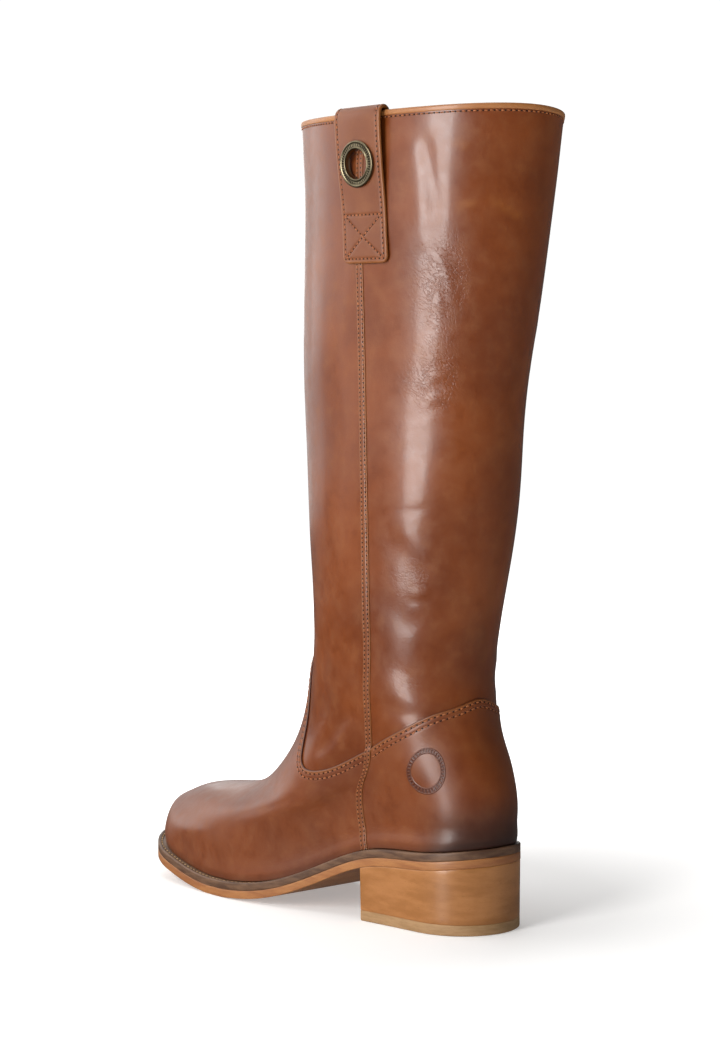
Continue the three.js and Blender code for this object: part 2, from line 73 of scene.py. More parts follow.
class Curve:
    """Natural cubic spline through the rows of a table.

    Between two rows the value is the cubic whose second derivative runs straight from one row's
    bend to the next, and the bends solve the usual three-term equations with none at the ends.
    """

    def __init__(self, at: Sequence[float], value: Sequence[float]) -> None:
        """Solves the bends.

        Args:
            at: Places of the rows, rising.
            value: Value at each place.
        """
        self.at = np.asarray(at, float)
        self.value = np.asarray(value, float)
        count = len(self.at)
        width = np.diff(self.at)
        system = np.eye(count)
        inner = np.arange(1, count - 1)
        system[inner, inner - 1] = width[:-1]
        system[inner, inner] = 2.0 * (width[:-1] + width[1:])
        system[inner, inner + 1] = width[1:]
        right = np.zeros(count)
        right[1:-1] = 6.0 * np.diff(np.diff(self.value) / width)
        self.bend = np.linalg.solve(system, right)

    def __call__(self, place: np.ndarray) -> np.ndarray:
        """Value of the curve at each place.

        Args:
            place: Where to read the curve.

        Returns:
            The value at each place.
        """
        place = np.asarray(place, float)
        i = np.clip(np.searchsorted(self.at, place, side="left") - 1, 0, len(self.at) - 2)
        width = self.at[i + 1] - self.at[i]
        before, after = self.at[i + 1] - place, place - self.at[i]
        low, high = self.bend[i], self.bend[i + 1]
        return (
            (low * before**3 + high * after**3) / (6.0 * width)
            + (self.value[i] / width - low * width / 6.0) * before
            + (self.value[i + 1] / width - high * width / 6.0) * after
        )


def smooth(value: np.ndarray, low: float, high: float) -> np.ndarray:
    """Smooth step: 0 below low, 1 above high, 3t^2 - 2t^3 between (low may be the larger)."""
    share = np.clip((np.asarray(value, float) - low) / (high - low), 0.0, 1.0)
    return share * share * (3.0 - 2.0 * share)


def bell(distance: np.ndarray, width: float) -> np.ndarray:
    """Gaussian bell of the distance, 1 at 0 and 1/e at the width."""
    return np.exp(-((distance / width) ** 2))


def end_round(distance: np.ndarray, length: np.ndarray, power: float) -> np.ndarray:
    """Share of the full breadth left near a rounded end: sqrt(1 - (1 - distance/length)^power)."""
    return np.sqrt(1.0 - np.clip(1.0 - distance / length, 0.0, 1.0) ** power)


def unit(vectors: np.ndarray) -> np.ndarray:
    """Vectors at length one."""
    length = np.linalg.norm(vectors, axis=-1, keepdims=True)
    return vectors / np.maximum(length, 1e-12)


def nearest(points: np.ndarray, line: np.ndarray) -> tuple[np.ndarray, np.ndarray]:
    """Distance from each point to the nearest point of a line, and that point's number.

    Args:
        points: Points, any leading shape, last axis the coordinates.
        line: Points of the line, one a row.

    Returns:
        The distances and the row numbers, in the points' leading shape.
    """
    flat = points.reshape(-1, points.shape[-1]).astype(np.float32)
    line = line.astype(np.float32)
    best = np.empty(len(flat), np.float32)
    where = np.empty(len(flat), np.int64)
    for part in range(0, len(flat), 8192):
        block = flat[part : part + 8192]
        apart = ((block[:, None, :] - line[None, :, :]) ** 2).sum(-1)
        where[part : part + 8192] = apart.argmin(1)
        best[part : part + 8192] = np.sqrt(apart.min(1))
    return best.reshape(points.shape[:-1]), where.reshape(points.shape[:-1])


# ---------- meshes


@dataclass
class Surface:
    """Points and faces of one piece in the boot's millimetres, with values carried by its points."""

    points: np.ndarray
    quads: np.ndarray
    triangles: np.ndarray = field(default_factory=lambda: np.zeros((0, 3), int))
    caps: list[list[int]] = field(default_factory=list)
    values: dict[str, np.ndarray] = field(default_factory=dict)

    def turned_out(self) -> "Surface":
        """The same surface with its faces towards the outside, told by the sign of its volume.

        Returns:
            The surface, turned over where its volume was negative.
        """
        p = self.points - self.points.mean(0)
        total = 0.0
        corners = [self.quads[:, [0, 1, 2]], self.quads[:, [0, 2, 3]], self.triangles]
        for face in corners:
            a, b, c = p[face[:, 0]], p[face[:, 1]], p[face[:, 2]]
            total += float(np.einsum("ij,ij->", a, np.cross(b, c)))
        if total < 0.0:
            self.quads = self.quads[:, ::-1]
            self.triangles = self.triangles[:, ::-1]
            self.caps = [cap[::-1] for cap in self.caps]
        return self


def grid(points: np.ndarray, wrap_rows: bool, wrap_columns: bool, **values: np.ndarray) -> Surface:
    """A surface over a grid of points; open column ends of a wrapped section are capped.

    Args:
        points: Rows by columns by three.
        wrap_rows: The last row joins the first, so each column is a closed section.
        wrap_columns: The last column joins the first.
        values: One value a point, kept as attributes of the mesh.

    Returns:
        The surface, facing out.
    """
    rows, columns = points.shape[:2]
    r, c = np.meshgrid(
        np.arange(rows if wrap_rows else rows - 1),
        np.arange(columns if wrap_columns else columns - 1),
        indexing="ij",
    )
    below, beside = (r + 1) % rows, (c + 1) % columns
    corners = (r * columns + c, r * columns + beside, below * columns + beside, below * columns + c)
    quads = np.stack(corners, -1).reshape(-1, 4)
    caps: list[list[int]] = []
    if wrap_rows and not wrap_columns:
        first = (np.arange(rows) * columns).tolist()
        caps = [first, [i + columns - 1 for i in first][::-1]]
    flat = {name: np.broadcast_to(value, points.shape[:2]).ravel() for name, value in values.items()}
    return Surface(points.reshape(-1, 3), quads, caps=caps, values=flat).turned_out()


def joined(surfaces: Sequence[Surface]) -> Surface:
    """Several surfaces as one, for a piece made of many like bits.

    Args:
        surfaces: The surfaces, in order.

    Returns:
        One surface with all their faces.
    """
    start = np.cumsum([0] + [len(s.points) for s in surfaces])
    return Surface(
        np.concatenate([s.points for s in surfaces]),
        np.concatenate([s.quads + n for s, n in zip(surfaces, start)]),
        np.concatenate([s.triangles + n for s, n in zip(surfaces, start)]),
        [[i + int(n) for i in cap] for s, n in zip(surfaces, start) for cap in s.caps],
    )


class Slot(Enum):
    """Material slots of the record."""

    UPPER = "upper_leather"
    STRAP = "strap_leather"
    EYELET = "eyelet_metal"
    INSOLE = "insole_leather"
    WELT = "welt_leather"
    SOLE = "sole_leather"
    HEEL = "heel_wood"
    LIFT = "lift_rubber"


def to_row_frame(points: np.ndarray) -> np.ndarray:
    """Boot millimetres as metres in the row frame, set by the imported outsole's own box.

    Args:
        points: Points in boot millimetres.

    Returns:
        The points in metres.
    """
    _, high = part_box("outsole")
    shift = np.array([high.x / MM - SOLE.widest, high.y / MM, 0.0])
    return (points + shift) * MM


def make_piece(
    name: str,
    surface: Surface,
    material: Material,
    replaces: Sequence[str] = (),
    merge: bool = False,
) -> bpy.types.Object:
    """Makes one piece of the boot and puts it on its body.

    Args:
        name: Name of the piece.
        surface: Its points and faces in boot millimetres.
        material: Its finish.
        replaces: CAD nodes that the piece stands for.
        merge: Points that fall together, at poles and folded ends, become one.

    Returns:
        The piece.
    """
    mesh = bpy.data.meshes.new(name)
    faces = surface.quads.tolist() + surface.triangles.tolist() + surface.caps
    mesh.from_pydata(to_row_frame(surface.points).tolist(), [], faces)
    for key, value in surface.values.items():
        layer = mesh.attributes.new(key, "FLOAT", "POINT")
        layer.data.foreach_set("value", np.ascontiguousarray(value, np.float32))
    if merge:
        work = bmesh.new()
        work.from_mesh(mesh)
        bmesh.ops.remove_doubles(work, verts=work.verts, dist=0.002 * MM)
        work.to_mesh(mesh)
        work.free()
    mesh.polygons.foreach_set("use_smooth", np.ones(len(mesh.polygons), bool))
    mesh.update()
    piece = bpy.data.objects.new(name, mesh)
    bpy.context.scene.collection.objects.link(piece)
    mesh.materials.append(material)
    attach(piece, BODY)
    if replaces:
        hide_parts(*replaces)
    triangles = sum(len(p.vertices) - 2 for p in mesh.polygons)
    LOG.info("%s: %d points, %d triangles", name, len(mesh.vertices), triangles)
    return piece


# ---------- the sole's curves


@dataclass(frozen=True)
class Sole:
    """Outline and side curve of the sole.

    The outline is a breadth each side of the heel's centre line, drawn in at both ends by a
    superellipse; the underside is a spline from the heel seat to the ball, then the toe spring.
    """

    length: float = 268.0
    outsole: float = 4.3
    welt: float = 4.2
    gap: float = 0.3
    heel_length: float = 74.4
    top_lift: float = 5.3
    flat_start: float = 170.0
    flat_end: float = 184.0
    toe_spring: float = 15.5
    spring_power: float = 1.55
    heel_round: tuple[float, float] = (33.0, 2.15)
    toe_round: tuple[float, float] = (38.0, 2.2)
    lateral: Curve = Curve(
        (0, 70, 105, 130, 150, 170, 190, 210, 235, 268),
        (30.0, 31.6, 35.3, 40.6, 44.0, 45.2, 43.8, 41.0, 36.3, 31.6),
    )
    medial: Curve = Curve(
        (0, 70, 105, 130, 150, 170, 190, 210, 235, 268),
        (30.0, 29.5, 26.0, 29.0, 36.0, 42.0, 45.0, 45.3, 43.0, 42.4),
    )
    under: Curve = Curve((0, 36, 73, 100, 130, 150, 170), (34.6, 31.1, 27.3, 17.4, 5.9, 1.7, 0.0))

    @property
    def stack(self) -> float:
        """Outsole, gap and welt together."""
        return self.outsole + self.gap + self.welt

    @property
    def widest(self) -> float:
        """Furthest reach of the outline to the lateral side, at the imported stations' own places."""
        side, half = self.section(np.linspace(150.0, 190.0, 401))
        return float((side + half).max())

    def underside(self, forward: np.ndarray) -> np.ndarray:
        """Height of the outsole's underside.

        Args:
            forward: Place along the boot.

        Returns:
            The height there.
        """
        forward = np.asarray(forward, float)
        behind = np.maximum(self.under(np.clip(forward, 0.0, self.flat_start)), 0.0)
        ahead = np.clip((forward - self.flat_end) / (self.length - self.flat_end), 0.0, None)
        return np.where(forward < self.flat_start, behind, self.toe_spring * ahead**self.spring_power)

    def welt_top(self, forward: np.ndarray) -> np.ndarray:
        """Height of the welt's upper face."""
        return self.underside(forward) + self.stack

    def section(self, forward: np.ndarray) -> tuple[np.ndarray, np.ndarray]:
        """Middle line and half breadth of the sole at a place along it.

        Args:
            forward: Place along the boot.

        Returns:
            The middle line's side and the half breadth.
        """
        lateral, medial = self.lateral(forward), self.medial(forward)
        share = end_round(forward, *self.heel_round) * end_round(self.length - forward, *self.toe_round)
        return (lateral - medial) / 2.0, (lateral + medial) / 2.0 * share

    def ring(self, count: int, inset: float = 0.0) -> np.ndarray:
        """Points of the sole's edge: forward = length (1 - cos angle) / 2, side = middle +- half.

        Args:
            count: Number of points, from the back round the lateral side.
            inset: Distance inside the edge, along the outline's own normal.

        Returns:
            Side and -forward of each point.
        """
        angle = TURN * (np.arange(count) + 0.5) / count
        forward = self.length * (1.0 - np.cos(angle)) / 2.0
        middle, half = self.section(forward)
        edge = np.stack([middle + np.sign(np.sin(angle)) * half, -forward], -1)
        return inward(edge, inset)

    def heel_ring(self, count: int, inset: float, corner: float = 1.6) -> np.ndarray:
        """Outline of the heel: the sole's edge round the back, a straight breast with round corners.

        Args:
            count: Points round the back; the corners and the breast add theirs.
            inset: Distance inside the sole's edge.
            corner: Radius of the breast's corners.

        Returns:
            Side and -forward of each point.
        """
        last = self.heel_length - inset - corner
        turn = math.acos(1.0 - 2.0 * last / self.length)
        angle = np.linspace(-turn, turn, count)
        forward = self.length * (1.0 - np.cos(angle)) / 2.0
        middle, half = self.section(forward)
        back = np.stack([middle + np.sign(angle) * half, -forward], -1)
        back = inward(back, inset, closed=False)
        around = np.linspace(0.0, math.pi / 2.0, 7)[1:]
        lateral, medial = back[-1], back[0]
        right = lateral + corner * np.stack([np.cos(around) - 1.0, -np.sin(around)], -1)
        left = medial + corner * np.stack([1.0 - np.cos(around[::-1]), -np.sin(around[::-1])], -1)
        across = np.linspace(right[-1], left[0], 26)[1:-1]
        return np.concatenate([back, right, across, left])


def inward(edge: np.ndarray, inset: float, closed: bool = True) -> np.ndarray:
    """An outline moved in along its own normals.

    Args:
        edge: Points of the outline, turning from the back to the lateral side.
        inset: How far in.
        closed: The last point is a neighbour of the first.

    Returns:
        The moved points.
    """
    if closed:
        along = np.roll(edge, -1, 0) - np.roll(edge, 1, 0)
    else:
        along = np.gradient(edge, axis=0)
    along = unit(along)
    normal = np.stack([along[:, 1], -along[:, 0]], -1)
    return edge + inset * normal


SOLE = Sole()


# ---------- the upper's skin


@dataclass(frozen=True)
class Skin:
    """The outer skin of the upper as stacked loops.

    A loop runs from a point on the back line to a point on the front ridge. Along it, forward goes
    with share = (1 - cos angle) / 2, the half breadth is a blend of the sole's outline and a plain
    oval, and the height is the straight line between both ends plus a share of the sole's curve.
    """

    # back, back height, front, front height, back and front rounding, half breadth,
    # share of the plain oval, share of the sole's curve, side shift of the ridge
    loops: tuple[tuple[float, ...], ...] = (
        (3.2, 43.4, 262.0, 22.9, 31, 36, 44.0, 0.0, 1.0, -5.0),
        (1.4, 51.0, 264.4, 30.2, 31, 37, 44.0, 0.0, 1.0, -5.0),
        (0.5, 60.0, 263.0, 40.0, 32, 52, 43.0, 0.05, 0.97, -5.0),
        (1.6, 70.0, 254.3, 45.0, 33, 68, 41.0, 0.12, 0.93, -5.0),
        (4.6, 79.5, 236.0, 50.6, 34, 66, 40.0, 0.24, 0.84, -5.0),
        (8.3, 88.0, 209.0, 53.5, 35, 62, 39.0, 0.38, 0.7, -5.0),
        (12.0, 96.0, 183.1, 59.2, 37, 66, 38.0, 0.52, 0.54, -4.5),
        (15.0, 103.5, 165.0, 70.7, 39, 66, 38.0, 0.66, 0.38, -4.0),
        (17.2, 110.5, 150.8, 84.5, 42, 63, 38.0, 0.78, 0.24, -3.3),
        (18.5, 117.5, 140.5, 100.5, 45, 59, 38.0, 0.88, 0.12, -2.5),
        (19.0, 125.0, 134.0, 119.0, 49, 56, 38.6, 0.95, 0.05, -1.5),
        (18.3, 134.0, 129.8, 139.0, 53, 55, 39.5, 1.0, 0.0, -0.8),
        (16.2, 147.0, 128.3, 157.5, 56, 56, 40.8, 1.0, 0.0, 0.0),
        (12.2, 166.0, 129.0, 177.5, 59, 59, 42.0, 1.0, 0.0, 0.0),
        (7.2, 190.0, 131.3, 200.5, 62, 62, 43.0, 1.0, 0.0, 0.0),
        (2.6, 218.0, 133.5, 227.0, 65, 65, 43.8, 1.0, 0.0, 0.0),
        (-1.2, 248.0, 135.0, 255.0, 68, 68, 44.2, 1.0, 0.0, 0.0),
        (-5.8, 282.0, 135.9, 287.5, 71, 71, 45.2, 1.0, 0.0, 0.0),
        (-12.6, 318.0, 135.9, 322.5, 75, 75, 46.8, 1.0, 0.0, 0.0),
        (-19.2, 354.0, 135.4, 358.5, 79, 79, 48.4, 1.0, 0.0, 0.0),
        (-24.4, 386.0, 135.2, 390.5, 81, 81, 49.7, 1.0, 0.0, 0.0),
        (-28.5, 412.5, 136.8, 419.3, 83, 83, 50.5, 1.0, 0.0, 0.0),
    )
    top_dip: float = 3.0
    top_dip_loops: float = 4.0
    inset: tuple[float, float, float] = (5.2, 3.0, 60.0)
    sunk_back: float = 1.3
    sunk_front: float = 0.3

    def __post_init__(self) -> None:
        """Makes one spline for each column of the loops."""
        table = np.array(self.loops)
        number = np.arange(len(table))
        object.__setattr__(self, "columns", [Curve(number, column) for column in table.T])

    @property
    def top(self) -> int:
        """Number of the last loop."""
        return len(self.loops) - 1

    def point(self, angle: np.ndarray, loop: np.ndarray) -> np.ndarray:
        """Points of the skin at each angle and loop.

        Args:
            angle: Angle round the boot.
            loop: Place up the loops.

        Returns:
            The points, side, back and up.
        """
        angle, loop = np.broadcast_arrays(np.asarray(angle, float), np.asarray(loop, float))
        row = [column(loop) for column in self.columns]
        back, back_height, front, front_height, round_back, round_front, breadth = row[:7]
        oval, follow, ridge = np.clip(row[7], 0, 1), np.clip(row[8], 0, 1), row[9]
        share = (1.0 - np.cos(angle)) / 2.0
        forward = back + (front - back) * share
        first, last = self.loops[0][0], self.loops[0][2]
        place = first + (last - first) * share
        forefoot, heel, reach = self.inset
        inset = forefoot - (forefoot - heel) * np.exp(-((place / reach) ** 2))
        lateral, medial = SOLE.lateral(place) - inset, SOLE.medial(place) - inset
        middle = (lateral - medial) / 2.0 * (1.0 - oval) + ridge * share**2 * oval
        half = (lateral + medial) / 2.0 * (1.0 - oval) + breadth * oval
        bluntness = 2.1
        half = half * end_round(forward - back, round_back, bluntness)
        half = half * end_round(front - forward, round_front, bluntness)
        ends = SOLE.welt_top(np.array([first, last]))
        curve = SOLE.welt_top(place) - (ends[0] + (ends[1] - ends[0]) * share)
        near_top = np.clip((loop - self.top + self.top_dip_loops) / self.top_dip_loops, 0.0, 1.0)
        dip = self.top_dip * np.sin(angle) ** 2 * near_top
        height = back_height + (front_height - back_height) * share + follow * curve - dip
        return np.stack([middle + np.sign(np.sin(angle)) * half, -forward, height], -1)

    def normal(self, angle: np.ndarray, loop: np.ndarray) -> np.ndarray:
        """Outward normals, turned level near the feather line and at the top line.

        Args:
            angle: Angle round the boot.
            loop: Place up the loops.

        Returns:
            Unit vectors.
        """
        angle, loop = np.broadcast_arrays(np.asarray(angle, float), np.asarray(loop, float))
        step = 0.01
        low, high = np.clip(loop - step, 0, self.top), np.clip(loop + step, 0, self.top)
        around = self.point(angle + step, loop) - self.point(angle - step, loop)
        up = self.point(angle, high) - self.point(angle, low)
        normal = unit(np.cross(up, around))
        firm = np.minimum(np.clip(loop, 0, 1), np.clip((self.top - loop) * 2.0, 0, 1))
        normal[..., 2] *= firm
        return unit(normal)

    def sunk(self, angle: np.ndarray, loop: np.ndarray) -> np.ndarray:
        """How much deeper the skin lies under the vamp and the counter, so that they stand flush.

        Args:
            angle: Angle round the boot.
            loop: Place up the loops.

        Returns:
            The depth.
        """
        share = (1.0 - np.cos(angle)) / 2.0
        fade = smooth(loop - 2.5 * share, 6.5, 9.0)
        depth = self.sunk_back + (self.sunk_front - self.sunk_back) * share
        return depth * smooth(loop, 0.4, 1.6) * (1.0 - fade)

    def sheet(self, angle: np.ndarray, loop: np.ndarray, out: np.ndarray) -> np.ndarray:
        """Points at a distance from the skin; the lowest loop stays just above the welt.

        Args:
            angle: Angle round the boot.
            loop: Place up the loops.
            out: Distance outwards from the skin.

        Returns:
            The points.
        """
        angle, loop, out = np.broadcast_arrays(
            np.asarray(angle, float), np.asarray(loop, float), np.asarray(out, float)
        )
        out = out - self.sunk(angle, loop)
        points = self.point(angle, loop) + out[..., None] * self.normal(angle, loop)
        low = np.clip(1.0 - loop / 0.4, 0.0, 1.0)
        seat = SOLE.welt_top(-points[..., 1]) + SOLE.gap
        points[..., 2] += (seat - points[..., 2]) * low
        return points

    def angle_at(self, forward: np.ndarray, loop: np.ndarray) -> np.ndarray:
        """Angle at which a loop reaches a place along the boot, on the lateral side."""
        back, front = self.columns[0](loop), self.columns[2](loop)
        return np.arccos(np.clip(1.0 - 2.0 * (forward - back) / (front - back), -1.0, 1.0))

    def find(self, forward: np.ndarray, height: np.ndarray) -> tuple[np.ndarray, np.ndarray]:
        """Angle and loop of the lateral skin at a place seen from the side, by halving the range.

        Args:
            forward: Place along the boot.
            height: Height over the ground.

        Returns:
            The angles and the loops.
        """
        forward, height = np.broadcast_arrays(np.asarray(forward, float), np.asarray(height, float))
        low, high = np.zeros(forward.shape), np.full(forward.shape, float(self.top))
        for _ in range(36):
            loop = (low + high) / 2.0
            above = self.point(self.angle_at(forward, loop), loop)[..., 2] > height
            high, low = np.where(above, loop, high), np.where(above, low, loop)
        loop = (low + high) / 2.0
        return self.angle_at(forward, loop), loop


SKIN = Skin()


@dataclass(frozen=True)
class Fold:
    """A soft crease in the leather: a trough along a bent line, with a ridge beside it.

    The line is the quadratic through three places (angle in degrees, height). Across it the
    leather is lower by a bell of the distance and higher by a second bell beside the first, and
    both fade out towards the line's ends.
    """

    start: tuple[float, float]
    bend: tuple[float, float]
    end: tuple[float, float]
    depth: float
    width: float
    ridge: float = 0.0
    beside: float = 4.0

    def relief(self, around: np.ndarray, height: np.ndarray, per_degree: float) -> np.ndarray:
        """Height of the crease over the plain skin.

        Args:
            around: Angle of each point in degrees, 0 to 360.
            height: Height of each point.
            per_degree: Millimetres along the skin for one degree.

        Returns:
            Relief of each point, outwards.
        """
        share = np.linspace(0.0, 1.0, 41)[:, None]
        a, b, c = (np.array(p) for p in (self.start, self.bend, self.end))
        middle = 2.0 * b - (a + c) / 2.0
        line = (1 - share) ** 2 * a + 2 * share * (1 - share) * middle + share**2 * c
        scale = np.array([per_degree, 1.0])
        apart = np.stack([around, height], -1)
        reach = 3.5 * self.width + abs(self.beside) + 3.0
        low, high = line.min(0) - reach / scale, line.max(0) + reach / scale
        inside = np.all((apart > low) & (apart < high), axis=-1)
        relief = np.zeros(around.shape)
        if not inside.any():
            return relief
        close = apart[inside] * scale
        path = line * scale
        _, row = nearest(close, path)
        along = unit(np.gradient(path, axis=0))[row]
        gap = close - path[row]
        side = gap[:, 1] * along[:, 0] - gap[:, 0] * along[:, 1]
        fade = smooth(row / 40.0, 0.0, 0.3) * smooth(row / 40.0, 1.0, 0.7)
        # Past an end the nearest row is the end's own, where the fade is nothing.
        trough = -self.depth * bell(side, self.width)
        ridge = self.ridge * bell(side - self.beside, 1.3 * self.width)
        relief[inside] = (trough + ridge) * fade
        return relief


@dataclass(frozen=True)
class Creases:
    """Wear of the standing shaft: folds, long soft waves and a few broad dents."""

    per_degree: float = 0.92
    most: float = 0.95
    folds: tuple[Fold, ...] = (
        # the calf's crease and its neighbours, lateral side towards the back
        Fold((58, 353), (46, 341), (33, 315), 0.5, 1.9, 0.35, 4.0),
        Fold((52, 338), (46, 326), (42, 302), 0.16, 1.7, 0.14, 3.2),
        Fold((47, 350), (41, 334), (36, 306), 0.14, 1.7, 0.12, 3.2),
        Fold((58, 266), (46, 273), (30, 278), 0.34, 1.7, 0.26, 3.6),
        Fold((58, 279), (47, 283), (36, 290), 0.16, 1.7, 0.14, 3.2),
        Fold((56, 258), (46, 263), (36, 264), 0.14, 1.8, 0.12, 3.2),
        # diagonal folds lower on the calf
        Fold((70, 207), (55, 188), (38, 181), 0.5, 5.0, 0.35, -8.5),
        Fold((63, 213), (53, 213), (42, 215), 0.16, 1.8, 0.1, -3.0),
        Fold((54, 170), (46, 167), (36, 170), 0.22, 2.0, 0.2, -3.8),
        Fold((70, 176), (56, 160), (38, 155), 0.28, 6.0, 0.2, -9.0),
        # ankle, lateral side
        Fold((70, 137), (48, 129), (20, 124), 0.3, 6.5, 0.3, 9.5),
        Fold((68, 115), (50, 110), (30, 108), 0.2, 5.5, 0.22, 9.5),
        Fold((40, 142), (28, 138), (14, 139), 0.25, 4.5, 0.2, 7.0),
        Fold((86, 112), (96, 96), (101, 80), 0.8, 5.0, 0.8, -9.5),
        Fold((119, 152), (112, 124), (107, 92), 0.9, 6.0, 0.7, 10.5),
        Fold((74, 160), (84, 140), (88, 118), 0.35, 6.5, 0.3, 9.0),
        # front of the ankle
        Fold((150, 172), (180, 166), (210, 172), 0.6, 4.0, 0.4, 6.0),
        Fold((140, 190), (170, 183), (196, 187), 0.35, 3.5, 0.2, 5.0),
        # medial side
        Fold((292, 136), (306, 129), (330, 124), 0.8, 4.5, 0.7, 8.0),
        Fold((296, 116), (312, 110), (328, 110), 0.5, 4.0, 0.4, 8.0),
        Fold((296, 206), (310, 192), (326, 184), 0.8, 3.8, 0.6, -6.5),
        Fold((300, 330), (314, 318), (322, 296), 0.5, 2.0, 0.4, 4.0),
        Fold((304, 276), (316, 280), (330, 282), 0.4, 1.6, 0.3, 3.4),
        Fold((272, 112), (262, 96), (258, 82), 0.8, 4.5, 0.7, -8.0),
        # two shallow channels down the top of the shaft
        Fold((60, 404), (55.5, 380), (50, 350), 0.55, 3.2, 0.3, 6.5),
        Fold((300, 392), (304, 372), (306, 350), 0.3, 2.6, 0.2, 5.0),
    )

    def relief(self, angle: np.ndarray, height: np.ndarray) -> np.ndarray:
        """Relief of the worn shaft over its plain skin, outwards.

        The long waves are four sines of angle and height with unlike wavelengths.

        Args:
            angle: Angle round the boot.
            height: Height over the ground.

        Returns:
            Distance outwards at each point.
        """
        around = np.degrees(angle) % 360.0
        turn = np.radians(around)
        waves = (
            0.28 * np.sin(3.0 * turn + height / 24.0 + 0.8)
            + 0.20 * np.sin(2.0 * turn - height / 17.0 + 2.1)
            + 0.10 * np.sin(5.0 * turn + height / 13.0)
            + 0.07 * np.sin(7.0 * turn - height / 16.0 + 1.2)
        )
        # The calf is a little flat where it creases, as a leg's bend leaves it.
        flats = ((50, 330, 21, 26, 0.9), (50, 264, 18, 22, 0.8), (58, 186, 15, 24, 0.6))
        for at, level, wide, tall, much in flats:
            waves = waves - much * bell((around - at) * self.per_degree, wide) * bell(height - level, tall)
        total = waves * smooth(height, 96.0, 150.0) * smooth(height, 408.0, 380.0)
        for fold in self.folds:
            total = total + fold.relief(around, height, self.per_degree)
        total = total * smooth(height, 406.0, 392.0)
        # the leather gives less the further it is pushed, and never as far as its own thickness
        return self.most * np.tanh(total / self.most)

    def wrinkled(self, angle: np.ndarray, height: np.ndarray) -> np.ndarray:
        """How finely creased the leather is, 0 to 1, round the calf's creases and the ankle.

        Args:
            angle: Angle round the boot.
            height: Height over the ground.

        Returns:
            The share at each point.
        """
        around = np.degrees(angle) % 360.0
        spots = ((46, 326, 13, 24, 1.0), (46, 277, 14, 16, 1.0), (50, 178, 14, 12, 0.6))
        spots += ((45, 128, 22, 12, 0.45), (312, 300, 14, 30, 0.7), (180, 168, 30, 12, 0.5))
        total = np.zeros(around.shape)
        for at, level, wide, tall, much in spots:
            total = total + much * bell(around - at, wide) * bell(height - level, tall)
        return np.clip(total, 0.0, 1.0)


CREASES = Creases()


# ---------- thread


